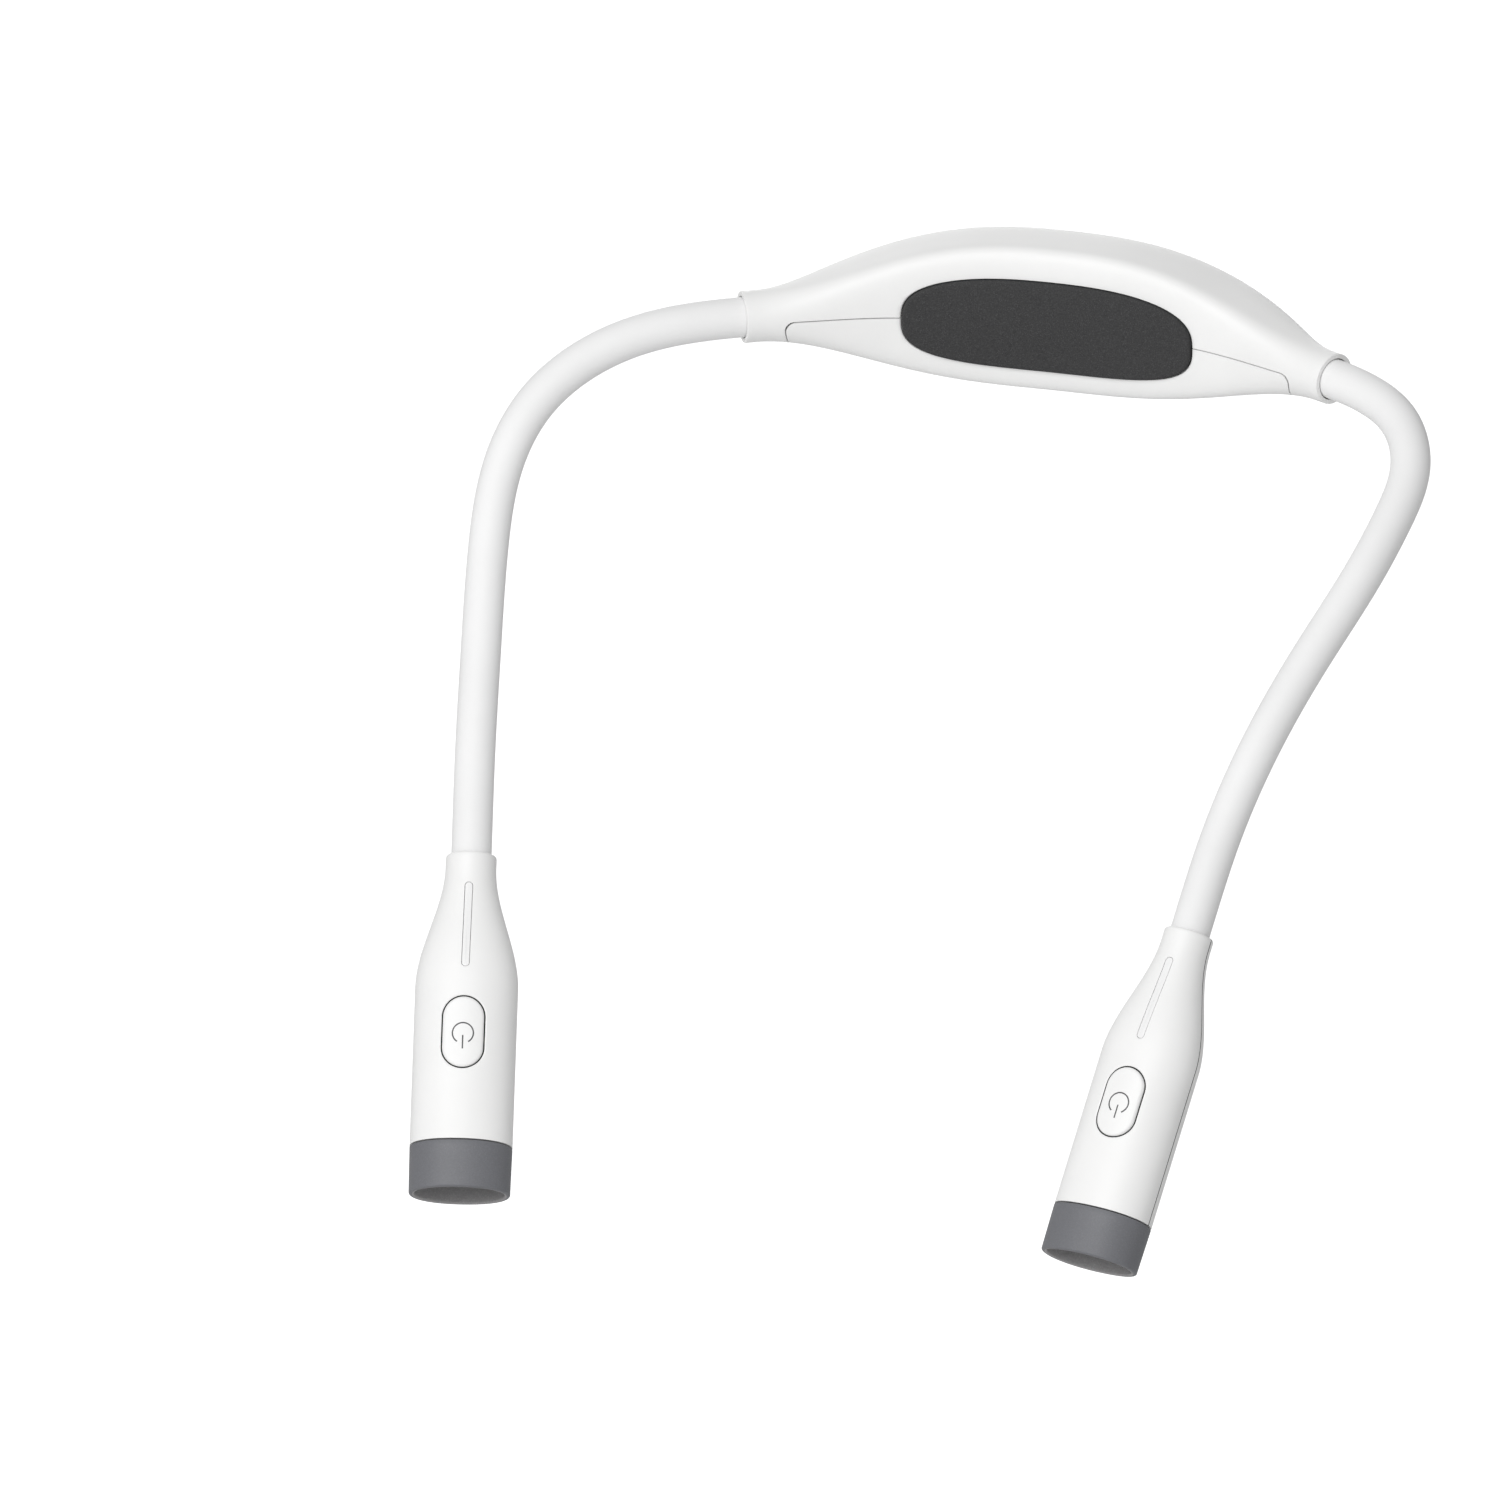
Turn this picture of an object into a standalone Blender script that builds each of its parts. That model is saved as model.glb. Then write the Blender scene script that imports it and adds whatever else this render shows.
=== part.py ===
"""Neck reading light: a unit that arches round the nape and two flexible arms with lamp heads.

Metres, +Z up. The wearer looks along -Y. The origin is the middle of the neck pad's face.
"""

import math

import bmesh
import bpy
import numpy as np
from mathutils import Matrix, Vector

# Fits
CLEARANCE = 0.0003  # between parts that touch, and round parts that slide
SEAM_GAP = 0.0003  # between the two halves of a housing
CUT_OVERRUN = 0.002  # how far a cutter runs past the face that it opens
WELD_DISTANCE = 0.000003

# Central unit, measured from the arch that its two sleeve sockets share
ARCH_RADIUS = 0.150
ARCH_LENGTH = 0.1466  # along the arch, socket rim to socket rim
UNIT_FRONT_DEPTH = 0.0062  # arch to the face on the neck
UNIT_BACK_DEPTH = 0.0158  # arch to the outer face
UNIT_TOP_HEIGHT = 0.0187
UNIT_BOTTOM_HEIGHT = 0.0167
UNIT_WALL = 0.0015
SOCKET_RADIUS = 0.0060
SOCKET_NECK_LENGTH = 0.003  # straight at each end
SOCKET_DEPTH = 0.012
TOP_FALL = 1.39  # how late the top line falls towards the sockets: 1 is a plain cosine
BOTTOM_FALL = 1.42
DEPTH_FALL = 3.0
UNIT_SQUARENESS = 4.2  # 2 is an oval section, more is boxier
ROUNDNESS = 2.0
UNIT_STATION_SHARES = (0, 0.16, 0.32, 0.46, 0.58, 0.68, 0.78, 0.88, 1)
UNIT_RING_POINTS = 24
SOCKET_STEPS = 5
SOCKET_BEVEL_STEPS = 6

# Lower cover of the unit, with its tongues and screws under the pad
COVER_SETBACK = 0.0116  # cover's end from the socket's rim, along the arch
COVER_CORNER_RADIUS = 0.0022
SEAM_END_HEIGHT = 0.0004  # above the arch
SEAM_MIDDLE_HEIGHT = 0.0018
TONGUE_ALONG = 0.022
TONGUE_WIDTH = 0.007
TONGUE_THICKNESS = 0.003
TONGUE_RISE = 0.0095  # above the seam's middle height
TONGUE_ROOT = 0.0075
TONGUE_BITE = 0.0008  # how deep its root goes into the cover's wall
SCREW_RISE = 0.0055  # screw above the seam's middle height
SCREW_SHANK_RADIUS = 0.0009
SCREW_HEAD_RADIUS = 0.0018
SCREW_HEAD_HEIGHT = 0.0010
SCREW_LENGTH = 0.0042
SCREW_STEPS = 16

# Neck pad
PAD_LENGTH = 0.0725
PAD_HEIGHT = 0.0219
PAD_SQUARENESS = 2.85
PAD_RECESS = 0.0015
PAD_PROUD = 0.0003
PAD_RISE = 0.0004  # pad's middle above the arch
PAD_SECTION_SHARES = ((0.95, 0), (1, 0.35), (0.96, 0.76), (0.82, 0.93), (0.42, 1))
PAD_OUTLINE_ANGLES = (5, 14, 25, 38, 53, 70)  # round the outline from its end

# Battery, charging board and USB-C receptacle
BATTERY_LENGTH = 0.038
BATTERY_THICKNESS = 0.0052
BATTERY_HEIGHT = 0.021
BATTERY_EDGE = 0.0012
BATTERY_RISE = 0.0008
CHARGER_LENGTH = 0.046
CHARGER_THICKNESS = 0.0012
CHARGER_HEIGHT = 0.021
CHARGER_RISE = 0.0015
RECEPTACLE_WIDTH = 0.00894
RECEPTACLE_HEIGHT = 0.00320
RECEPTACLE_DEPTH = 0.00735
RECEPTACLE_WALL = 0.00035
RECEPTACLE_FLOOR = 0.0012
TONGUE_PLATE_WIDTH = 0.00669
TONGUE_PLATE_HEIGHT = 0.0007
TONGUE_PLATE_SETBACK = 0.0010
PORT_POCKET_WIDTH = 0.0135
PORT_POCKET_HEIGHT = 0.0072
PORT_POCKET_DEPTH = 0.0007

# Flexible arms
TUBE_RADIUS = 0.00465
CORE_RADIUS = 0.0024
ARM_LENGTH = 0.162  # along the sleeve, socket rim to lamp neck rim
BEND_SHARES = (0.1, 0.3, 0.5, 0.7, 0.9)  # places of the bends along the arm
ROUTE_STEP = 0.0081  # a whole number of steps fits between bends and in the arm
ROUTE_SPAN_STEPS = 24
SWING_FACE_ANGLE = 24  # degrees above level of the side that faces away from the wearer
SLEEVE_BEVEL_STEPS = 4
CORE_BEVEL_STEPS = 2
BORE_BEVEL_STEPS = 3
BALL_ANGLES = (20, 40, 58)
CUP_CLEARANCE = 0.0005  # room for the ball to turn where the arm curves
CUP_SEGMENTS = 16
CUP_RINGS = 8
ANCHOR_LENGTH = 0.005
ANCHOR_SETBACK = 0.0005
ANCHOR_STEPS = 20
# Out, forward and down from the socket rim, as shares of the arm's length
LEFT_ROUTE_SHARES = (
    (0.139, 0.077, 0.014),
    (0.208, 0.126, 0.044),
    (0.256, 0.172, 0.087),
    (0.287, 0.225, 0.153),
    (0.294, 0.296, 0.261),
    (0.284, 0.375, 0.388),
    (0.271, 0.456, 0.515),
    (0.254, 0.540, 0.639),
)
RIGHT_ROUTE_SHARES = (
    (0.063, 0.034, 0.005),
    (0.116, 0.075, 0.022),
    (0.148, 0.135, 0.062),
    (0.143, 0.210, 0.112),
    (0.117, 0.296, 0.175),
    (0.074, 0.389, 0.254),
    (0.025, 0.486, 0.357),
    (-0.011, 0.580, 0.469),
    (-0.0322, 0.6701, 0.5821),
)
# Directions of the lamp heads: below level, and turned in towards the middle, in degrees
LEFT_AIM = (53.0, 11.7)
RIGHT_AIM = (52.5, 13.3)

# Lamp heads, measured along the axis from the neck rim
HEAD_NECK_RADIUS = 0.00585
HEAD_WIDTH = 0.0237
HEAD_DEPTH = 0.0184
HEAD_SQUARENESS = 2.15
HEAD_WALL = 0.0014
NECK_LENGTH = 0.003
SHOULDER_LENGTH = 0.0285
SHELL_LENGTH = 0.0690
HEAD_RING_POINTS = 24
SHOULDER_STATION_SHARES = (0, 0.14, 0.27, 0.4, 0.53, 0.66, 0.8, 1)
BARREL_STATION_SHARES = (0.33, 0.66, 1)
ARM_INSERT = 0.0095  # length of sleeve inside the neck
CLAMP_LENGTH = 0.0035

# Hood, lens and light board at the mouth
HOOD_LENGTH = 0.0114
HOOD_WALL = 0.0013
HOOD_TAPER = 0.00015
SPIGOT_LENGTH = 0.004
SPIGOT_WALL = 0.0009
LENS_LIP_WIDTH = 0.0010
LENS_LIP_THICKNESS = 0.0008
LENS_LIP_SETBACK = 0.0074  # below the hood's rim
LENS_THICKNESS = 0.0018
LENS_CROWN = 0.0008
LIGHT_BOARD_THICKNESS = 0.001
LED_RADIUS = 0.0017
LED_HEIGHT = 0.0009
LED_PITCH = 0.0052
LED_COUNT = 3
LED_STEPS = 12

# Button, switch, control board and indicator
BUTTON_ALONG = 0.0438
BUTTON_WIDTH = 0.0095
BUTTON_LENGTH = 0.0167
BUTTON_PROUD = 0.0003
BUTTON_FLANGE = 0.0008
BUTTON_FLANGE_THICKNESS = 0.001
BUTTON_TRAVEL = 0.0005
BUTTON_STEM_RADIUS = 0.0015
SWITCH_WIDTH = 0.006
SWITCH_HEIGHT = 0.0025
SWITCH_PLUNGER_RADIUS = 0.0017
SWITCH_PLUNGER_HEIGHT = 0.0008
SWITCH_REST_GAP = 0.0001  # over the travel, so that a full press stops short of the switch
CONTROL_BOARD_START = 0.030
CONTROL_BOARD_GAP = 0.0037  # its far end to the hood's spigot
CONTROL_BOARD_THICKNESS = 0.001
INDICATOR_START = 0.0076
INDICATOR_LENGTH = 0.0206
INDICATOR_WIDTH = 0.0017
INDICATOR_DEPTH = 0.0019  # below the outer face
OUTLINE_ARC_POINTS = 7

# Finishes: colour, roughness, metallic
WHITE_SHELL = ((0.86, 0.86, 0.85), 0.42, 0.0)
WHITE_SLEEVE = ((0.84, 0.84, 0.84), 0.62, 0.0)
CHARCOAL_PAD = ((0.05, 0.05, 0.052), 0.85, 0.0)
GREY_HOOD = ((0.19, 0.20, 0.22), 0.5, 0.0)
CLEAR_LENS = ((0.85, 0.87, 0.88), 0.12, 0.0)
INDICATOR_WHITE = ((0.80, 0.82, 0.82), 0.3, 0.0)
BOARD_GREEN = ((0.03, 0.14, 0.07), 0.5, 0.0)
BATTERY_FOIL = ((0.45, 0.47, 0.50), 0.35, 0.6)
STEEL = ((0.55, 0.56, 0.58), 0.35, 1.0)
BLACK_SWITCH = ((0.02, 0.02, 0.02), 0.5, 0.0)

HALF_ARCH = ARCH_LENGTH / 2
CAVITY_HALF = HALF_ARCH - SOCKET_DEPTH
ARCH_MIDDLE = Vector((0, UNIT_FRONT_DEPTH + PAD_PROUD, -PAD_RISE))
HEAD_LENGTH = SHELL_LENGTH + HOOD_LENGTH
SMOOTH_ANGLE = math.radians(35)


# Scene and helpers


def clear_scene():
    for old in list(bpy.data.objects):
        bpy.data.objects.remove(old)
    for old in list(bpy.data.collections):
        bpy.data.collections.remove(old)


def add_collection(name):
    group = bpy.data.collections.new(name)
    bpy.context.scene.collection.children.link(group)
    return group


def add_object(name, mesh, group):
    piece = bpy.data.objects.new(name, mesh)
    group.objects.link(piece)
    return piece


def hide_cutter(piece):
    piece.hide_render = True
    piece.display_type = "WIRE"
    return piece


def combine(piece, other, operation="DIFFERENCE"):
    modifier = piece.modifiers.new(other.name, "BOOLEAN")
    modifier.operation = operation
    modifier.object = other


def evaluated_mesh(piece, name):
    """The mesh of an object as its modifiers or its curve settings make it."""
    bpy.context.view_layer.update()
    graph = bpy.context.evaluated_depsgraph_get()
    mesh = bpy.data.meshes.new_from_object(piece.evaluated_get(graph))
    mesh.name = name
    return mesh


def weld(mesh):
    shape = bmesh.new()
    shape.from_mesh(mesh)
    bmesh.ops.remove_doubles(shape, verts=shape.verts, dist=WELD_DISTANCE)
    bmesh.ops.recalc_face_normals(shape, faces=shape.faces)
    shape.to_mesh(mesh)
    shape.free()


def finish(piece, look, smooth=True):
    colour, roughness, metallic = look
    material = bpy.data.materials.new(piece.name)
    material.use_nodes = True
    shader = material.node_tree.nodes["Principled BSDF"]
    shader.inputs["Base Color"].default_value = (*colour, 1)
    shader.inputs["Roughness"].default_value = roughness
    shader.inputs["Metallic"].default_value = metallic
    # The slot belongs to the object, so that copies may share one mesh
    if not piece.data.materials:
        piece.data.materials.append(None)
    piece.material_slots[0].link = "OBJECT"
    piece.material_slots[0].material = material
    if smooth:
        piece.data.shade_smooth()
        piece.data.set_sharp_from_angle(angle=SMOOTH_ANGLE)
    return piece


def loft(name, rings, group, ring_loop=False):
    """A skin over rings of equal count, capped at both ends unless the rings close on themselves."""
    shape = bmesh.new()
    rows = [[shape.verts.new(point) for point in ring] for ring in rings]
    following = rows[1:] + rows[:1] if ring_loop else rows[1:]
    for near, far in zip(rows, following):
        for i in range(len(near)):
            j = (i + 1) % len(near)
            shape.faces.new((near[i], near[j], far[j], far[i]))
    if not ring_loop:
        shape.faces.new(rows[0])
        shape.faces.new(rows[-1])
    bmesh.ops.recalc_face_normals(shape, faces=shape.faces)
    mesh = bpy.data.meshes.new(name)
    shape.to_mesh(mesh)
    shape.free()
    return add_object(name, mesh, group)


def curve_to_mesh(name, curve, group):
    """A mesh object in place of a curve, with its loose caps welded on."""
    guide = add_object(name, curve, group)
    mesh = evaluated_mesh(guide, name)
    bpy.data.objects.remove(guide)
    bpy.data.curves.remove(curve)
    weld(mesh)
    return add_object(name, mesh, group)


def tube(name, points, radius, bevel, group, radius_shares=None):
    """A rod along points, with a radius share at each where it isn't plain."""
    curve = bpy.data.curves.new(name, "CURVE")
    curve.dimensions = "3D"
    curve.bevel_depth = radius
    curve.bevel_resolution = bevel
    curve.use_fill_caps = True
    spline = curve.splines.new("POLY")
    spline.points.add(len(points) - 1)
    for i, point in enumerate(points):
        spline.points[i].co = (*point, 1)
        spline.points[i].radius = radius_shares[i] if radius_shares else 1
    return curve_to_mesh(name, curve, group)


def plate(name, outline, thickness, group):
    """A flat outline in XY made as thick as asked, with its middle at z = 0."""
    curve = bpy.data.curves.new(name, "CURVE")
    curve.dimensions = "2D"
    curve.fill_mode = "BOTH"
    curve.extrude = thickness / 2
    spline = curve.splines.new("POLY")
    spline.points.add(len(outline) - 1)
    for i, (x, y) in enumerate(outline):
        spline.points[i].co = (x, y, 0, 1)
    spline.use_cyclic_u = True
    return curve_to_mesh(name, curve, group)


def block(name, size, centre, group):
    shape = bmesh.new()
    bmesh.ops.create_cube(shape, size=1)
    bmesh.ops.scale(shape, vec=size, verts=shape.verts)
    mesh = bpy.data.meshes.new(name)
    shape.to_mesh(mesh)
    shape.free()
    piece = add_object(name, mesh, group)
    piece.location = centre
    return piece


def rod(name, radius, length, steps, centre, group):
    """A cylinder along Z."""
    shape = bmesh.new()
    bmesh.ops.create_cone(
        shape, cap_ends=True, segments=steps, radius1=radius, radius2=radius, depth=length
    )
    mesh = bpy.data.meshes.new(name)
    shape.to_mesh(mesh)
    shape.free()
    piece = add_object(name, mesh, group)
    piece.location = centre
    return piece


def turned(name, profile, steps, group):
    """A profile of (radius, height) pairs, down its outer side, turned about Z."""
    mesh = bpy.data.meshes.new(name)
    count = len(profile)
    ring = profile[0][0] > 0
    edges = [(i, (i + 1) % count) for i in range(count if ring else count - 1)]
    mesh.from_pydata([(radius, 0, height) for radius, height in profile], edges, [])
    piece = add_object(name, mesh, group)
    screw = piece.modifiers.new("turn", "SCREW")
    screw.angle = math.tau
    screw.steps = steps
    screw.render_steps = steps
    screw.use_merge_vertices = True
    screw.merge_threshold = WELD_DISTANCE
    return piece


def pill_outline(length, width, arc_points=OUTLINE_ARC_POINTS):
    """A stadium with its length along Y."""
    radius = width / 2
    reach = length / 2 - radius
    points = []
    for end, start in ((1, 0), (-1, math.pi)):
        for i in range(arc_points + 1):
            angle = start + math.pi * i / arc_points
            points.append((radius * math.cos(angle), end * reach + radius * math.sin(angle)))
    return points


def oval(right, left, up, down, power, count):
    """A closed outline with its own reach on each side, between round and boxy."""
    points = []
    for i in range(count):
        angle = math.tau * i / count
        across = math.copysign(abs(math.cos(angle)) ** (2 / power), math.cos(angle))
        rise = math.copysign(abs(math.sin(angle)) ** (2 / power), math.sin(angle))
        points.append((across * (right if across > 0 else left), rise * (up if rise > 0 else down)))
    return points


def bell(share, fall):
    """1 in the middle and 0 at the end, level at both."""
    return (1 + math.cos(math.pi * min(abs(share), 1) ** fall)) / 2


def ease(share):
    share = min(max(share, 0), 1)
    return share * share * (3 - 2 * share)


def blend_sizes(small, large, share):
    return small + (large - small) * share


# Central unit


def arch(along, inward=0.0, up=0.0):
    """A point by its distance along the arch, in towards the neck, and up."""
    turn = along / ARCH_RADIUS
    reach = ARCH_RADIUS - inward
    return ARCH_MIDDLE + Vector((reach * math.sin(turn), reach * math.cos(turn) - ARCH_RADIUS, up))


def arch_turn(along):
    return -along / ARCH_RADIUS


def unit_ring(along, wall=0.0, front_wall=0.0):
    share = along / (HALF_ARCH - SOCKET_NECK_LENGTH)
    deep = bell(share, DEPTH_FALL)
    front = blend_sizes(SOCKET_RADIUS, UNIT_FRONT_DEPTH, deep)
    back = blend_sizes(SOCKET_RADIUS, UNIT_BACK_DEPTH, deep)
    top = blend_sizes(SOCKET_RADIUS, UNIT_TOP_HEIGHT, bell(share, TOP_FALL))
    bottom = blend_sizes(SOCKET_RADIUS, UNIT_BOTTOM_HEIGHT, bell(share, BOTTOM_FALL))
    power = blend_sizes(ROUNDNESS, UNIT_SQUARENESS, bell(share, ROUNDNESS))
    front_wall = front_wall * bell(share, ROUNDNESS)
    outline = oval(
        front - wall - front_wall, back - wall, top - wall, bottom - wall, power, UNIT_RING_POINTS
    )
    return [arch(along, inward, up) for inward, up in outline]


def both_ways(shares):
    return [-share for share in reversed(shares) if share] + list(shares)


def unit_solid(name, group):
    stations = [share * HALF_ARCH for share in both_ways(UNIT_STATION_SHARES)]
    return loft(name, [unit_ring(along) for along in stations], group)


def unit_cavity(group):
    stations = [share * CAVITY_HALF for share in both_ways(UNIT_STATION_SHARES[::2])]
    rings = [unit_ring(along, UNIT_WALL, PAD_RECESS) for along in stations]
    return hide_cutter(loft("cavity_cutter", rings, group))


def socket_bore(side, group):
    """Room for the sleeve's end and, further in, for the ring that anchors the core."""
    start = CAVITY_HALF - ANCHOR_SETBACK - ANCHOR_LENGTH - CLEARANCE
    length = HALF_ARCH + CUT_OVERRUN - start
    shares = [i / SOCKET_STEPS for i in range(SOCKET_STEPS + 1)]
    points = [arch(side * (start + share * length)) for share in shares]
    name = "left_socket_cutter" if side < 0 else "right_socket_cutter"
    return hide_cutter(tube(name, points, TUBE_RADIUS + CLEARANCE, SOCKET_BEVEL_STEPS, group))


def pad_stations(half_length, half_height):
    """Places along the arch, with the pad's half height at each."""
    power = 2 / PAD_SQUARENESS
    stations = []
    for turn in (math.radians(angle) for angle in PAD_OUTLINE_ANGLES):
        stations.append((half_length * math.cos(turn) ** power, half_height * math.sin(turn) ** power))
    mirrored = [(-along, height) for along, height in stations]
    return mirrored + [(0, half_height)] + stations[::-1]


def neck_pad(group):
    floor = UNIT_FRONT_DEPTH - PAD_RECESS + CLEARANCE
    thickness = UNIT_FRONT_DEPTH + PAD_PROUD - floor
    rings = []
    for along, height in pad_stations(PAD_LENGTH / 2, PAD_HEIGHT / 2):
        upper = [(floor + rise * thickness, out * height) for out, rise in PAD_SECTION_SHARES]
        lower = [(inward, -up) for inward, up in reversed(upper)]
        rings.append([arch(along, inward, PAD_RISE + up) for inward, up in upper + lower])
    return finish(loft("neck_pad", rings, group), CHARCOAL_PAD)


def pad_recess(group):
    floor = UNIT_FRONT_DEPTH - PAD_RECESS
    face = UNIT_FRONT_DEPTH + CUT_OVERRUN
    rings = []
    for along, height in pad_stations(PAD_LENGTH / 2 + CLEARANCE, PAD_HEIGHT / 2 + CLEARANCE):
        corners = ((floor, height), (face, height), (face, -height), (floor, -height))
        rings.append([arch(along, inward, PAD_RISE + up) for inward, up in corners])
    return hide_cutter(loft("pad_recess_cutter", rings, group))


def cover_outline(shrink):
    """The lower cover's outline seen from the front, about the arch's middle."""
    end = arch(HALF_ARCH - COVER_SETBACK).x - shrink
    pad_end = arch(PAD_LENGTH / 2).x
    low = -UNIT_BOTTOM_HEIGHT - CUT_OVERRUN
    high = SEAM_END_HEIGHT - shrink
    middle = SEAM_MIDDLE_HEIGHT - shrink
    right = [(end, low)]
    for i in range(OUTLINE_ARC_POINTS):
        angle = math.pi / 2 * i / (OUTLINE_ARC_POINTS - 1)
        x = end - COVER_CORNER_RADIUS * (1 - math.cos(angle))
        z = high - COVER_CORNER_RADIUS * (1 - math.sin(angle))
        right.append((x, z))
    right.append((pad_end, blend_sizes(high, middle, bell(pad_end / end, 1))))
    left = [(-x, z) for x, z in reversed(right)]
    return right + left


def cover_region(name, shrink, group):
    """The outline made as deep as the unit and its forward ends, front and back."""
    ends_forward = ARCH_MIDDLE.y - arch(HALF_ARCH, UNIT_FRONT_DEPTH).y
    half_depth = max(ends_forward, UNIT_BACK_DEPTH) + CUT_OVERRUN
    region = plate(name, cover_outline(shrink), 2 * half_depth, group)
    region.matrix_world = Matrix.Translation(ARCH_MIDDLE) @ Matrix.Rotation(math.pi / 2, 4, "X")
    return hide_cutter(region)


def tongue_front():
    """How far in towards the neck the cover's tongues reach behind the upper shell's wall."""
    return UNIT_FRONT_DEPTH - UNIT_WALL - PAD_RECESS - CLEARANCE


def tongue(side, group):
    """A tab on the lower cover that stands behind the upper shell and takes its screw."""
    front = tongue_front()
    rear = front - TONGUE_THICKNESS
    bite = front + CLEARANCE + TONGUE_BITE
    top = SEAM_MIDDLE_HEIGHT + TONGUE_RISE
    root_top = SEAM_END_HEIGHT - SEAM_GAP
    bottom = root_top - TONGUE_ROOT
    root = [(rear, bottom), (bite, bottom), (bite, root_top)]
    tab = [(front, root_top), (front, top), (rear, top)]
    name = "left_tongue" if side < 0 else "right_tongue"
    piece = plate(name, root + tab, TONGUE_WIDTH, group)
    along = side * TONGUE_ALONG
    inward = (arch(along, ARCH_RADIUS) - arch(along)).normalized()
    up = Vector((0, 0, 1))
    rotation = Matrix((inward, up, inward.cross(up))).transposed().to_4x4()
    piece.matrix_world = Matrix.Translation(arch(along)) @ rotation
    return hide_cutter(piece)


def screw_matrix(side):
    """The screw's place: its head on the pad recess's floor, its axis in from the neck side."""
    along = side * TONGUE_ALONG
    place = arch(along, UNIT_FRONT_DEPTH - PAD_RECESS, SEAM_MIDDLE_HEIGHT + SCREW_RISE)
    turn = Matrix.Rotation(arch_turn(along), 4, "Z") @ Matrix.Rotation(math.pi / 2, 4, "X")
    return Matrix.Translation(place) @ turn


def screw_profile(grow, above):
    """Countersunk head at the top, with its face at height 0, and a plain shank."""
    head = SCREW_HEAD_RADIUS + grow
    shank = SCREW_SHANK_RADIUS + grow
    return [
        (0, above),
        (head, above),
        (head, -grow),
        (shank, -SCREW_HEAD_HEIGHT - grow),
        (shank, -SCREW_LENGTH - grow),
        (0, -SCREW_LENGTH - grow),
    ]


def screw_hole(side, group):
    name = "left_screw_cutter" if side < 0 else "right_screw_cutter"
    hole = turned(name, screw_profile(CLEARANCE, CUT_OVERRUN), SCREW_STEPS, group)
    hole.matrix_world = screw_matrix(side)
    return hide_cutter(hole)


def cover_screws(group):
    """The two screws of the lower cover, which share one mesh."""
    mold = turned("screw_mold", screw_profile(0, -CLEARANCE / 2), SCREW_STEPS, group)
    mesh = evaluated_mesh(mold, "cover_screw")
    bpy.data.objects.remove(mold)
    for side, word in ((-1, "left"), (1, "right")):
        screw = add_object(f"{word}_cover_screw", mesh, group)
        screw.matrix_world = screw_matrix(side)
        finish(screw, STEEL)


def inner_layout():
    """Places, front to back from the neck side, of the board, the receptacle and the battery."""
    tongue_rear = tongue_front() - TONGUE_THICKNESS
    tongue_corner = arch(TONGUE_ALONG - TONGUE_WIDTH / 2, tongue_rear).y
    board = tongue_corner + CLEARANCE + CHARGER_THICKNESS / 2
    receptacle = board + CHARGER_THICKNESS / 2 + CLEARANCE + RECEPTACLE_HEIGHT / 2
    battery = receptacle + RECEPTACLE_HEIGHT / 2 + CLEARANCE + BATTERY_THICKNESS / 2
    return board, receptacle, battery


def charging_board(group):
    centre = Vector((0, inner_layout()[0], ARCH_MIDDLE.z + CHARGER_RISE))
    size = (CHARGER_LENGTH, CHARGER_THICKNESS, CHARGER_HEIGHT)
    return finish(block("charging_board", size, centre, group), BOARD_GREEN, smooth=False)


def battery(group):
    centre = Vector((0, inner_layout()[2], ARCH_MIDDLE.z + BATTERY_RISE))
    cell = block("battery", (BATTERY_LENGTH, BATTERY_THICKNESS, BATTERY_HEIGHT), centre, group)
    edge = cell.modifiers.new("rounded_edges", "BEVEL")
    edge.width = BATTERY_EDGE
    edge.segments = 2
    return finish(cell, BATTERY_FOIL)


def port_face_height():
    return ARCH_MIDDLE.z - UNIT_BOTTOM_HEIGHT + PORT_POCKET_DEPTH


def port_matrix(height):
    """A pill with its length along the unit, level, at this height over the receptacle's middle."""
    place = Vector((0, inner_layout()[1], height))
    return Matrix.Translation(place) @ Matrix.Rotation(math.pi / 2, 4, "Z")


def port_pill(name, width, height, bottom, top, group):
    piece = plate(name, pill_outline(width, height), top - bottom, group)
    piece.matrix_world = port_matrix((bottom + top) / 2)
    return piece


def usb_receptacle(group, cutters):
    mouth = port_face_height()
    back = mouth + RECEPTACLE_DEPTH
    shell = port_pill("usb_c_receptacle", RECEPTACLE_WIDTH, RECEPTACLE_HEIGHT, mouth, back, group)
    hollow = port_pill(
        "receptacle_hollow",
        RECEPTACLE_WIDTH - 2 * RECEPTACLE_WALL,
        RECEPTACLE_HEIGHT - 2 * RECEPTACLE_WALL,
        mouth - CUT_OVERRUN,
        back - RECEPTACLE_FLOOR,
        cutters,
    )
    low = mouth + TONGUE_PLATE_SETBACK
    high = back - RECEPTACLE_FLOOR / 2
    contacts = block(
        "receptacle_contacts",
        (TONGUE_PLATE_WIDTH, TONGUE_PLATE_HEIGHT, high - low),
        Vector((0, inner_layout()[1], (low + high) / 2)),
        cutters,
    )
    combine(shell, hide_cutter(hollow))
    combine(shell, hide_cutter(contacts), "UNION")
    return finish(shell, STEEL)


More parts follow.
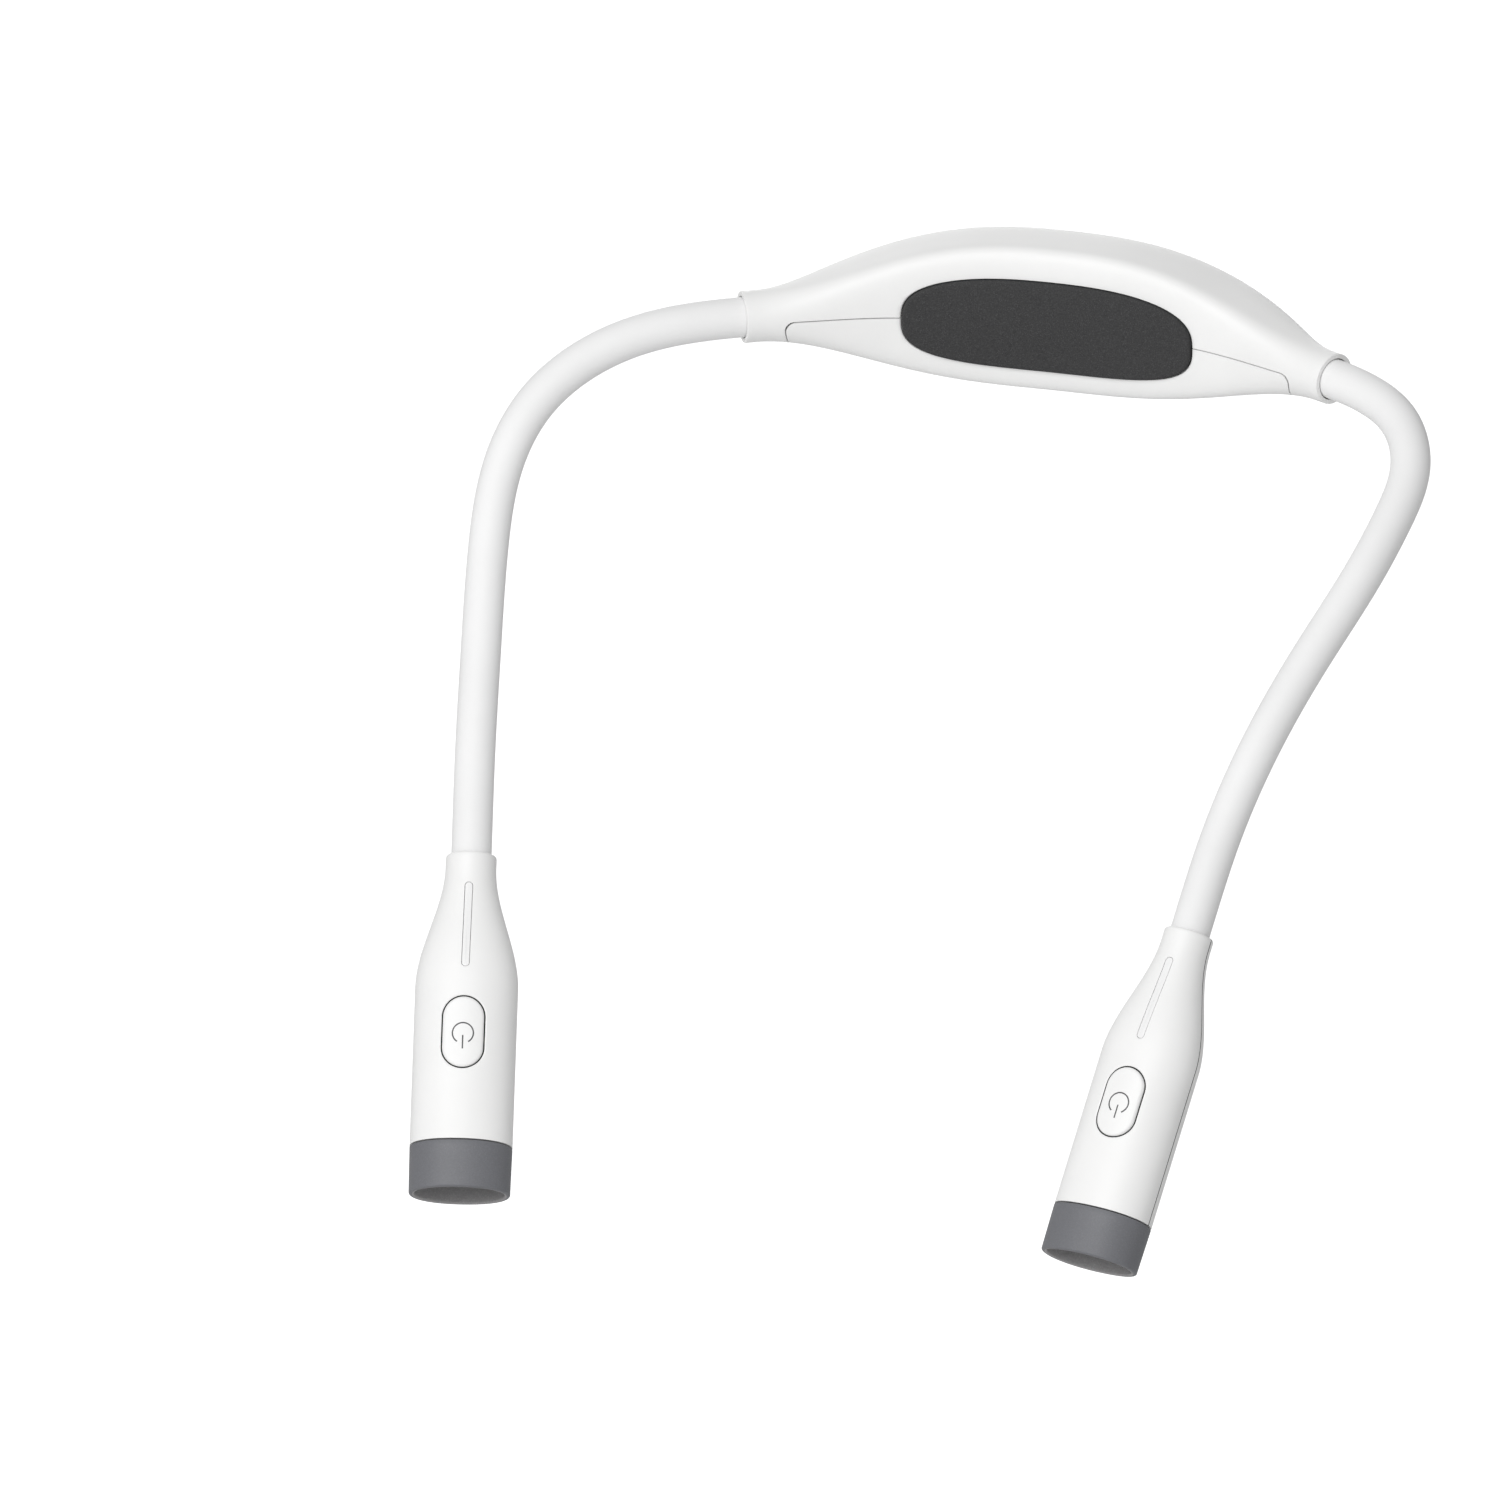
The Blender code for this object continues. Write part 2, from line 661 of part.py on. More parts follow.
def build_unit(parts, cutters):
    cavity = unit_cavity(cutters)
    recess = pad_recess(cutters)
    holes = [screw_hole(side, cutters) for side in (-1, 1)]
    bores = [socket_bore(side, cutters) for side in (-1, 1)]

    upper = unit_solid("upper_shell", parts)
    combine(upper, cavity)
    for bore in bores:
        combine(upper, bore)
    combine(upper, recess)
    combine(upper, cover_region("cover_room_cutter", 0, cutters))
    for hole in holes:
        combine(upper, hole)
    finish(upper, WHITE_SHELL)

    lower = unit_solid("lower_cover", parts)
    combine(lower, cavity)
    for bore in bores:
        combine(lower, bore)
    combine(lower, recess)
    combine(lower, cover_region("cover_shape", SEAM_GAP, cutters), "INTERSECT")
    for side in (-1, 1):
        combine(lower, tongue(side, cutters), "UNION")
    for hole in holes:
        combine(lower, hole)
    face = port_face_height()
    pocket = port_pill(
        "port_pocket_cutter",
        PORT_POCKET_WIDTH,
        PORT_POCKET_HEIGHT,
        face - PORT_POCKET_DEPTH - CUT_OVERRUN,
        face,
        cutters,
    )
    slot = port_pill(
        "port_slot_cutter",
        RECEPTACLE_WIDTH + 2 * CLEARANCE,
        RECEPTACLE_HEIGHT + 2 * CLEARANCE,
        face - CUT_OVERRUN,
        face + UNIT_WALL + CUT_OVERRUN,
        cutters,
    )
    combine(lower, hide_cutter(pocket))
    combine(lower, hide_cutter(slot))
    finish(lower, WHITE_SHELL)

    neck_pad(parts)
    cover_screws(parts)
    charging_board(parts)
    usb_receptacle(parts, cutters)
    battery(parts)


# Arms


def aim_vector(side, aim):
    """The lamp's direction from its angle below level and its turn in towards the middle."""
    down, turn_in = (math.radians(angle) for angle in aim)
    level = math.cos(down)
    return Vector((-side * level * math.sin(turn_in), -level * math.cos(turn_in), -math.sin(down)))


def spline_slopes(knots, steps, first, last):
    """Slopes at the knots of the cubic spline that leaves and arrives as told."""
    count = len(knots)
    matrix = np.eye(count)
    sides = np.zeros((count, 3))
    sides[0] = first
    sides[-1] = last
    chords = np.diff(knots, axis=0) / steps[:, None]
    for i in range(1, count - 1):
        matrix[i, i - 1] = steps[i]
        matrix[i, i] = 2 * (steps[i - 1] + steps[i])
        matrix[i, i + 1] = steps[i - 1]
        sides[i] = 3 * (steps[i] * chords[i - 1] + steps[i - 1] * chords[i])
    return np.linalg.solve(matrix, sides)


def spline_points(knots, first, last, per_span=ROUTE_SPAN_STEPS):
    """Close points on a smooth curve through the knots."""
    knots = np.array(knots)
    steps = np.linalg.norm(np.diff(knots, axis=0), axis=1)
    slopes = spline_slopes(knots, steps, first, last)
    points = [knots[0]]
    for i, step in enumerate(steps):
        for j in range(1, per_span + 1):
            t = j / per_span
            point = (
                (1 + 2 * t) * (1 - t) ** 2 * knots[i]
                + t * (1 - t) ** 2 * step * slopes[i]
                + t * t * (3 - 2 * t) * knots[i + 1]
                + t * t * (t - 1) * step * slopes[i + 1]
            )
            points.append(point)
    return np.array(points)


class Route:
    """An arm's centre line by distance: 0 at the socket rim, ARM_LENGTH at the lamp's neck rim."""

    def __init__(self, side, shares, aim):
        self.side = side
        self.aim = aim_vector(side, aim)
        self.start = arch(side * HALF_ARCH)
        turn = HALF_ARCH / ARCH_RADIUS
        leave = Vector((side * math.cos(turn), -math.sin(turn), 0))
        knots = [(0, 0, 0)] + [(side * out, -forward, -down) for out, forward, down in shares]
        points = spline_points(knots, leave, self.aim)
        lengths = np.linalg.norm(np.diff(points, axis=0), axis=1)
        self.lengths = np.concatenate([[0], np.cumsum(lengths)]) / lengths.sum()
        self.points = points / lengths.sum()
        self.end = self.corner(round(ARM_LENGTH / ROUTE_STEP))

    def corner(self, number):
        """A corner of the line, which goes on inside the socket and inside the lamp's neck."""
        distance = number * ROUTE_STEP
        if distance < 0:
            return arch(self.side * (HALF_ARCH + distance))
        share = min(distance / ARM_LENGTH, 1)
        spot = [np.interp(share, self.lengths, self.points[:, i]) for i in range(3)]
        point = self.start + ARM_LENGTH * Vector(spot)
        return point + self.aim * max(distance - ARM_LENGTH, 0)

    def at(self, distance):
        """A point on the straight steps from corner to corner, which all parts share."""
        number = math.floor(distance / ROUTE_STEP)
        share = distance / ROUTE_STEP - number
        return self.corner(number).lerp(self.corner(number + 1), share)

    def direction(self, distance):
        ahead = self.at(distance + CLEARANCE)
        return (ahead - self.at(distance - CLEARANCE)).normalized()

    def between(self, start, end):
        """Points from start to end, with the corners that lie clear of both."""
        first = math.ceil((start + CLEARANCE) / ROUTE_STEP)
        last = math.floor((end - CLEARANCE) / ROUTE_STEP)
        inner = [self.corner(number) for number in range(first, last + 1)]
        return [self.at(start)] + inner + [self.at(end)]


def bend_distances():
    return [share * ARM_LENGTH for share in BEND_SHARES]


def bend_axes(route):
    """Hinge axes: odd bends swing the arm in and out, even bends raise and lower it."""
    tilt = math.radians(SWING_FACE_ANGLE)
    face = Vector((0, -math.cos(tilt), math.sin(tilt)))
    axes = []
    for i, distance in enumerate(bend_distances()):
        along = route.direction(distance)
        swing = (face - along * along.dot(face)).normalized()
        if i % 2 == 0:
            axes.append(swing * route.side * (1 if i % 4 == 0 else -1))
        else:
            axes.append(along.cross(swing).normalized() * (1 if i % 4 == 1 else -1))
    return axes


def add_empty(name, place, parent, group):
    """An empty at this world place, with its parent's place taken off."""
    empty = bpy.data.objects.new(name, None)
    group.objects.link(empty)
    empty.empty_display_size = TUBE_RADIUS
    if parent:
        empty.parent = parent
        place = parent.matrix_world.inverted() @ place
    empty.matrix_local = place
    bpy.context.view_layer.update()
    return empty


def hang(piece, parent):
    """Parents a piece whose mesh is in world places to an empty, without moving it."""
    piece.data.transform(parent.matrix_world.inverted())
    piece.parent = parent


def sleeve_piece(name, route, start, end, cup, ball, groups):
    """A length of sleeve: a cup at its start if it turns there, a ball at its end if the next does."""
    parts, cutters = groups
    points = route.between(start, end)
    shares = [1] * len(points)
    if ball:
        along = route.direction(end)
        for angle in BALL_ANGLES:
            turn = math.radians(angle)
            points.append(route.at(end) + along * TUBE_RADIUS * math.sin(turn))
            shares.append(math.cos(turn))
    sleeve = tube(name, points, TUBE_RADIUS, SLEEVE_BEVEL_STEPS, parts, shares)
    past = TUBE_RADIUS + CUT_OVERRUN
    before = route.at(start) - route.direction(start) * past
    after = route.at(end) + route.direction(end) * past
    bore_line = [before] + route.between(start, end) + [after]
    bore = tube(name + "_bore_cutter", bore_line, CORE_RADIUS + CLEARANCE, BORE_BEVEL_STEPS, cutters)
    combine(sleeve, hide_cutter(bore))
    if cup:
        shape = bmesh.new()
        bmesh.ops.create_uvsphere(
            shape, u_segments=CUP_SEGMENTS, v_segments=CUP_RINGS, radius=TUBE_RADIUS + CUP_CLEARANCE
        )
        mesh = bpy.data.meshes.new(name + "_cup_cutter")
        shape.to_mesh(mesh)
        shape.free()
        socket = add_object(name + "_cup_cutter", mesh, cutters)
        along = route.direction(start)
        turn = along.to_track_quat("Z", "Y").to_matrix().to_4x4()
        socket.matrix_world = Matrix.Translation(route.at(start)) @ turn
        combine(sleeve, hide_cutter(socket))
    return sleeve


def build_arm(word, route, groups):
    """Sleeve and core pieces from bend to bend, on a chain of empties at the bends."""
    parts, cutters = groups
    bends = bend_distances()
    starts = [-SOCKET_DEPTH + CLEARANCE] + bends
    ends = bends + [ARM_LENGTH + ARM_INSERT]
    link = None
    for i, (start, end) in enumerate(zip(starts, ends)):
        first = i == 0
        last = i == len(bends)
        if not first:
            place = Matrix.Translation(route.at(start))
            link = add_empty(f"{word}_bend_{i}", place, link, parts)
        number = i + 1
        sleeve = sleeve_piece(
            f"{word}_sleeve_{number}", route, start, end, not first, not last, groups
        )
        core_start = start + TUBE_RADIUS + CUP_CLEARANCE + CLEARANCE
        if first:
            core_start = -SOCKET_DEPTH - ANCHOR_SETBACK - ANCHOR_LENGTH
        core_line = route.between(core_start, end)
        past_end = CLAMP_LENGTH if last else TUBE_RADIUS * math.sin(math.radians(BALL_ANGLES[1]))
        core_line.append(route.at(end) + route.direction(end) * past_end)
        core = tube(f"{word}_core_{number}", core_line, CORE_RADIUS, CORE_BEVEL_STEPS, parts)
        finish(core, STEEL)
        if link:
            for other in [modifier.object for modifier in sleeve.modifiers]:
                bake_place(other)
                hang(other, link)
            hang(core, link)
            hang(sleeve, link)
        finish(sleeve, WHITE_SLEEVE)
    return link


def bake_place(piece):
    """Moves an object's own place into its mesh."""
    piece.data.transform(piece.matrix_world)
    piece.matrix_world = Matrix.Identity(4)


def ring_profile(inner, outer, length):
    return [(outer, length / 2), (outer, -length / 2), (inner, -length / 2), (inner, length / 2)]


def arm_anchor(word, route, group):
    """The ring inside the unit that holds the end of the arm's core."""
    profile = ring_profile(CORE_RADIUS + CLEARANCE, TUBE_RADIUS - CLEARANCE, ANCHOR_LENGTH)
    ring = turned(f"{word}_arm_anchor", profile, ANCHOR_STEPS, group)
    middle = -SOCKET_DEPTH - ANCHOR_SETBACK - ANCHOR_LENGTH / 2
    turn = route.direction(middle).to_track_quat("Z", "Y").to_matrix().to_4x4()
    ring.matrix_world = Matrix.Translation(route.at(middle)) @ turn
    return finish(ring, STEEL)


# Lamp heads, built once about Z from the neck rim to the mouth, with +Y the button's side


def head_sizes(along):
    share = ease((along - NECK_LENGTH) / SHOULDER_LENGTH)
    width = blend_sizes(HEAD_NECK_RADIUS, HEAD_WIDTH / 2, share)
    depth = blend_sizes(HEAD_NECK_RADIUS, HEAD_DEPTH / 2, share)
    return width, depth, blend_sizes(ROUNDNESS, HEAD_SQUARENESS, share)


def head_outline(along, inset, count=HEAD_RING_POINTS):
    width, depth, power = head_sizes(along)
    bore = TUBE_RADIUS + CLEARANCE
    across = max(width - inset, bore)
    deep = max(depth - inset, bore)
    return oval(across, across, deep, deep, power, count)


def head_ring(along, inset=0.0):
    return [Vector((x, y, along)) for x, y in head_outline(along, inset)]


def head_stations():
    shoulder = [NECK_LENGTH + share * SHOULDER_LENGTH for share in SHOULDER_STATION_SHARES]
    start = shoulder[-1]
    barrel = [start + share * (SHELL_LENGTH - start) for share in BARREL_STATION_SHARES]
    return [0] + shoulder + barrel


def half_shell(name, side, group):
    """Half of the head's housing, split at its mid-plane, as one wall with a U section."""
    rings = []
    half = HEAD_RING_POINTS // 2
    for along in head_stations():
        outer = head_outline(along, 0)[: half + 1]
        inner = head_outline(along, HEAD_WALL)[: half + 1]
        wall = outer + inner[::-1]
        rings.append([Vector((x, side * max(y, SEAM_GAP / 2), along)) for x, y in wall])
    return loft(name, rings, group)


def head_pill(name, length, width, along, low, high, group):
    """A pill seen from the button's side, between two depths."""
    piece = plate(name, pill_outline(length, width), high - low, group)
    turn = Matrix.Rotation(math.pi / 2, 4, "X")
    piece.matrix_world = Matrix.Translation((0, (low + high) / 2, along)) @ turn
    return piece


def head_skin(name, inset, depth, group):
    """A thick skin that follows the outer face on the button's side."""
    stations = head_stations()
    rings = []
    half = HEAD_RING_POINTS // 2
    for along in stations:
        outer = head_outline(along, inset)[: half + 1]
        inner = head_outline(along, depth)[: half + 1]
        wall = outer + inner[::-1]
        rings.append([Vector((x, max(y, SEAM_GAP), along)) for x, y in wall])
    return loft(name, rings, group)


def flange_face():
    """Depth of the button flange's outer face, just under the front shell's wall."""
    width, depth, power = head_sizes(BUTTON_ALONG)
    edge = (BUTTON_WIDTH / 2 + BUTTON_FLANGE) / (width - HEAD_WALL)
    return (depth - HEAD_WALL) * (1 - edge**power) ** (1 / power) - CLEARANCE


def switch_top():
    return CONTROL_BOARD_THICKNESS / 2 + CLEARANCE + SWITCH_HEIGHT + SWITCH_PLUNGER_HEIGHT


def power_button(group, cutters):
    """A cap that follows the shell's face, with a retaining flange and a stem to the switch."""
    face = flange_face()
    high = HEAD_DEPTH / 2 + CUT_OVERRUN
    middle = face - BUTTON_FLANGE_THICKNESS / 2
    cap = head_pill("power_button", BUTTON_LENGTH, BUTTON_WIDTH, BUTTON_ALONG, middle, high, group)
    solid = loft("button_limit", [head_ring(along, -BUTTON_PROUD) for along in head_stations()], cutters)
    flange = head_pill(
        "button_flange",
        BUTTON_LENGTH + 2 * BUTTON_FLANGE,
        BUTTON_WIDTH + 2 * BUTTON_FLANGE,
        BUTTON_ALONG,
        face - BUTTON_FLANGE_THICKNESS,
        face,
        cutters,
    )
    low = switch_top() + BUTTON_TRAVEL + SWITCH_REST_GAP
    stem = rod("button_stem", BUTTON_STEM_RADIUS, middle - low, LED_STEPS, (0, 0, 0), cutters)
    place = Matrix.Translation((0, (middle + low) / 2, BUTTON_ALONG))
    stem.matrix_world = place @ Matrix.Rotation(math.pi / 2, 4, "X")
    combine(cap, solid, "INTERSECT")
    combine(cap, flange, "UNION")
    combine(cap, stem, "UNION")
    return cap


def front_shell(group, cutters):
    shell = half_shell("front_shell", 1, group)
    button_hole = head_pill(
        "button_hole_cutter",
        BUTTON_LENGTH + 2 * CLEARANCE,
        BUTTON_WIDTH + 2 * CLEARANCE,
        BUTTON_ALONG,
        HEAD_NECK_RADIUS / 2,
        HEAD_DEPTH,
        cutters,
    )
    slot = head_pill(
        "indicator_slot_cutter",
        INDICATOR_LENGTH + 2 * CLEARANCE,
        INDICATOR_WIDTH + 2 * CLEARANCE,
        INDICATOR_START + INDICATOR_LENGTH / 2,
        HEAD_NECK_RADIUS / 2,
        HEAD_DEPTH,
        cutters,
    )
    combine(shell, button_hole)
    combine(shell, slot)
    return shell


def back_shell(group, _):
    return half_shell("back_shell", -1, group)


def indicator(group, cutters):
    """The light bar that fills the slot and follows the neck's face."""
    bar = head_pill(
        "indicator_bar",
        INDICATOR_LENGTH,
        INDICATOR_WIDTH,
        INDICATOR_START + INDICATOR_LENGTH / 2,
        HEAD_NECK_RADIUS / 2,
        HEAD_DEPTH,
        group,
    )
    combine(bar, head_skin("indicator_limit", 0, INDICATOR_DEPTH, cutters), "INTERSECT")
    return bar


def hood(group, _):
    """The hood's wall as one loop of rings: spigot, outside, rim, inside, lens lip."""
    mouth = HEAD_LENGTH
    step = SHELL_LENGTH + CLEARANCE
    spigot_end = SHELL_LENGTH - SPIGOT_LENGTH
    spigot = HEAD_WALL + CLEARANCE
    bore = spigot + SPIGOT_WALL
    lip = bore + LENS_LIP_WIDTH
    lip_top = mouth - LENS_LIP_SETBACK
    lip_low = lip_top - LENS_LIP_THICKNESS
    profile = [
        (spigot, spigot_end),
        (spigot, step),
        (0, step),
        (HOOD_TAPER, mouth),
        (HOOD_TAPER + HOOD_WALL, mouth),
        (HOOD_WALL, lip_top),
        (lip, lip_top),
        (lip, lip_low),
        (bore, lip_low),
        (bore, spigot_end),
    ]
    return loft("hood", [head_ring(along, inset) for inset, along in profile], group, True)


def lens_inset():
    return HEAD_WALL + CLEARANCE + SPIGOT_WALL + CLEARANCE


def lens_back():
    top = HEAD_LENGTH - LENS_LIP_SETBACK - LENS_LIP_THICKNESS - CLEARANCE
    return top - LENS_THICKNESS


def lens(group, _):
    """A plate with a crowned face towards the mouth."""
    back = lens_back()
    inset = lens_inset()
    face = back + LENS_THICKNESS
    clear = LENS_LIP_WIDTH + CLEARANCE * 2
    profile = [(inset, back), (inset, face), (inset + clear, face)]
    profile.append((inset + clear * 2, face + LENS_CROWN))
    return loft("lens", [head_ring(along, edge) for edge, along in profile], group)


def light_board(group, cutters):
    """An oval board with a row of LEDs facing the lens."""
    top = lens_back() - CLEARANCE - LED_HEIGHT
    inset = lens_inset()
    low = top - LIGHT_BOARD_THICKNESS
    board = loft("light_board", [head_ring(low, inset), head_ring(top, inset)], group)
    for i in range(LED_COUNT):
        x = (i - (LED_COUNT - 1) / 2) * LED_PITCH
        length = LED_HEIGHT + LIGHT_BOARD_THICKNESS / 2
        middle = top + LED_HEIGHT - length / 2
        led = rod(f"led_{i + 1}", LED_RADIUS, length, LED_STEPS, (x, 0, middle), cutters)
        combine(board, led, "UNION")
    return board


def control_board(group, _):
    width, _, _ = head_sizes(CONTROL_BOARD_START)
    length = SHELL_LENGTH - SPIGOT_LENGTH - CONTROL_BOARD_GAP - CONTROL_BOARD_START
    size = (
        2 * (width - HEAD_WALL - CLEARANCE * 2),
        CONTROL_BOARD_THICKNESS,
        length,
    )
    centre = (0, 0, CONTROL_BOARD_START + length / 2)
    return block("control_board", size, centre, group)


def tact_switch(group, cutters):
    low = CONTROL_BOARD_THICKNESS / 2 + CLEARANCE
    size = (SWITCH_WIDTH, SWITCH_HEIGHT, SWITCH_WIDTH)
    body = block("tact_switch", size, (0, low + SWITCH_HEIGHT / 2, BUTTON_ALONG), group)
    length = SWITCH_PLUNGER_HEIGHT * 2
    plunger = rod("switch_plunger", SWITCH_PLUNGER_RADIUS, length, LED_STEPS, (0, 0, 0), cutters)
    place = Matrix.Translation((0, low + SWITCH_HEIGHT, BUTTON_ALONG))
    plunger.matrix_world = place @ Matrix.Rotation(math.pi / 2, 4, "X")
    combine(body, plunger, "UNION")
    return body


def arm_clamp(group, _):
    """The ring in the head's neck that holds the end of the arm's core."""
    profile = ring_profile(CORE_RADIUS + CLEARANCE, TUBE_RADIUS - CLEARANCE, CLAMP_LENGTH)
    ring = turned("arm_clamp", profile, ANCHOR_STEPS, group)
    ring.location = (0, 0, ARM_INSERT + CLEARANCE + CLAMP_LENGTH / 2)
    return ring


HEAD_PIECES = (
    (front_shell, WHITE_SHELL, True),
    (back_shell, WHITE_SHELL, True),
    (power_button, WHITE_SHELL, True),
    (indicator, INDICATOR_WHITE, True),
    (hood, GREY_HOOD, True),
    (lens, CLEAR_LENS, True),
    (light_board, BOARD_GREEN, True),
    (control_board, BOARD_GREEN, False),
    (tact_switch, BLACK_SWITCH, True),
    (arm_clamp, STEEL, True),
)


def head_masters():
    """Each head piece's finished mesh, in the head's own places, to be shared by both heads."""
    bench = add_collection("head_bench")
    masters = []
    for make, look, smooth in HEAD_PIECES:
        piece = make(bench, bench)
        mesh = evaluated_mesh(piece, piece.name)
        mesh.transform(piece.matrix_world)
        masters.append((piece.name, mesh, look, smooth))
    for piece in list(bench.objects):
        bpy.data.objects.remove(piece)
    bpy.data.collections.remove(bench)
    return masters


def head_matrix(route):
    """Z along the lamp's axis, Y out of the button's side, which faces up and forward."""
    along = route.aim
    up = Vector((0, 0, 1))
    face = (up - along * along.z).normalized()
    across = face.cross(along)
    rotation = Matrix((across, face, along)).transposed().to_4x4()
    return Matrix.Translation(route.end) @ rotation


def build_head(word, route, link, masters, group):
    frame = add_empty(f"{word}_head_frame", head_matrix(route), link, group)
    for name, mesh, look, smooth in masters:
        piece = add_object(f"{word}_{name}", mesh, group)
        piece.parent = frame
        finish(piece, look, smooth)


def routes():
    return {
        "left": Route(-1, LEFT_ROUTE_SHARES, LEFT_AIM),
        "right": Route(1, RIGHT_ROUTE_SHARES, RIGHT_AIM),
    }


def main():
    clear_scene()
    parts = add_collection("neck_reading_light")
    cutters = add_collection("cutters")
    build_unit(parts, cutters)
    masters = head_masters()
    for word, route in routes().items():
        arm_anchor(word, route, parts)
        link = build_arm(word, route, (parts, cutters))
        build_head(word, route, link, masters, parts)


main()
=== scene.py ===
"""Looks of the neck reading light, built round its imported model.

Metres, in the model's own frame: +Z up, the wearer looks along -Y, and the origin is the middle
of the neck pad's face.
"""

import math

import bmesh
import bpy
import numpy as np
from mathutils import Matrix, Vector


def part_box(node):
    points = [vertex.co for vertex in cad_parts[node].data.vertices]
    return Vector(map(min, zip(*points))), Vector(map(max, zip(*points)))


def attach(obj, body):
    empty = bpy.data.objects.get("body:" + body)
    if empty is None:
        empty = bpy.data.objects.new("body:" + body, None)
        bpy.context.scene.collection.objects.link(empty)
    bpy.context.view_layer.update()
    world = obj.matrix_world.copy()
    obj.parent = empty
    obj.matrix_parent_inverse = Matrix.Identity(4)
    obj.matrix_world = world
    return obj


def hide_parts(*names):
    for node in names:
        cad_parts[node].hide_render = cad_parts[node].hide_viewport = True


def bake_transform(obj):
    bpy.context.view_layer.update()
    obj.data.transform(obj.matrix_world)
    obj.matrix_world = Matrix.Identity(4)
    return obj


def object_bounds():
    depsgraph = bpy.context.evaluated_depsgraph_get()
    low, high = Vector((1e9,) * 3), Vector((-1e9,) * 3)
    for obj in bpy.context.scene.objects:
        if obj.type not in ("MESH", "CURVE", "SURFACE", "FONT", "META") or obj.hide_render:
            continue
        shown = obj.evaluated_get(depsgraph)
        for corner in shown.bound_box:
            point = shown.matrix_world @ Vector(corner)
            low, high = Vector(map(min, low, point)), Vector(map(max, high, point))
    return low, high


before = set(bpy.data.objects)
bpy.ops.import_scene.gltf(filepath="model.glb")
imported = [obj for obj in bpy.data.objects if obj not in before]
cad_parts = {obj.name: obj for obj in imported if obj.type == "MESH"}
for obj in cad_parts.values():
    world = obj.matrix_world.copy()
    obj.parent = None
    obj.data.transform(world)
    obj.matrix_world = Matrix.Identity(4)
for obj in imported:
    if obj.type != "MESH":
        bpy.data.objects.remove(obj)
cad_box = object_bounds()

# Fits and fine steps
CLEARANCE = 0.0003
SEAM_GAP = 0.0003
CUT_OVERRUN = 0.002
WELD_DISTANCE = 0.000003
SMOOTH_ANGLE = math.radians(32)

# Central unit, as in the model
ARCH_RADIUS = 0.150
ARCH_LENGTH = 0.1466
UNIT_FRONT_DEPTH = 0.0062
UNIT_BACK_DEPTH = 0.0158
UNIT_TOP_HEIGHT = 0.0187
UNIT_BOTTOM_HEIGHT = 0.0167
UNIT_WALL = 0.0015
SOCKET_RADIUS = 0.0060
SOCKET_NECK_LENGTH = 0.003
SOCKET_DEPTH = 0.012
SOCKET_EDGE = 0.00012  # rounding of the socket's rim
SOCKET_BORE_STEPS = 8
TOP_FALL = 1.39  # how late the top line falls towards the sockets: 1 is a plain cosine
BOTTOM_FALL = 1.42
DEPTH_FALL = 3.0
UNIT_SQUARENESS = 4.2  # 2 is an oval section, more is boxier
ROUNDNESS = 2.0
UNIT_STATIONS = 56  # from the middle to each socket
UNIT_RING_POINTS = 96
COVER_SETBACK = 0.0116  # cover's end from the socket's rim, along the arch
COVER_CORNER_RADIUS = 0.0022
SEAM_END_HEIGHT = 0.0004  # above the arch
SEAM_MIDDLE_HEIGHT = 0.0018
SEAM_STEPS = 24
SEAM_LIP = 0.0005  # how far the seam steps in behind its ends

# Neck pad and charging port
PAD_LENGTH = 0.0725
PAD_HEIGHT = 0.0219
PAD_SQUARENESS = 2.85
PAD_RECESS = 0.0015
PAD_PROUD = 0.0003
PAD_RISE = 0.0004
PAD_EDGE = 0.0007  # rounding of the foam's edge
PAD_OUTLINE_POINTS = 160
PAD_ROWS = 16
PAD_SWELL = 0.0003  # rise of its middle over its edges
PAD_SWELL_POWER = 4  # how flat the swell stays towards the pad's ends
PAD_PLUMP = 0.0006  # how far the soft foam stands up over the plain model's face
PORT_WIDTH = 0.00894
PORT_HEIGHT = 0.00320
PORT_POCKET_WIDTH = 0.0135
PORT_POCKET_HEIGHT = 0.0072
PORT_POCKET_DEPTH = 0.0007

# Flexible arms
TUBE_RADIUS = 0.00465
ARM_LENGTH = 0.162
ARM_INSERT = 0.0095  # length of sleeve inside the lamp's neck
BEND_SHARES = (0.1, 0.3, 0.5, 0.7, 0.9)  # places of the bends along the arm
BEND_REACH = 0.0142  # how far each side of a bend its sleeve curves
SLEEVE_STEP = 0.00135
SLEEVE_RING_POINTS = 48
ROUTE_SPAN_STEPS = 24
# Out, forward and down from the socket rim, as shares of the arm's length
LEFT_ROUTE_SHARES = (
    (0.139, 0.077, 0.014),
    (0.208, 0.126, 0.044),
    (0.256, 0.172, 0.087),
    (0.287, 0.225, 0.153),
    (0.294, 0.296, 0.261),
    (0.284, 0.375, 0.388),
    (0.271, 0.456, 0.515),
    (0.254, 0.540, 0.639),
)
RIGHT_ROUTE_SHARES = (
    (0.063, 0.034, 0.005),
    (0.116, 0.075, 0.022),
    (0.148, 0.135, 0.062),
    (0.143, 0.210, 0.112),
    (0.117, 0.296, 0.175),
    (0.074, 0.389, 0.254),
    (0.025, 0.486, 0.357),
    (-0.011, 0.580, 0.469),
    (-0.0322, 0.6701, 0.5821),
)
# Below level, and turned in towards the middle, in degrees
LEFT_AIM = (53.0, 11.7)
RIGHT_AIM = (52.5, 13.3)

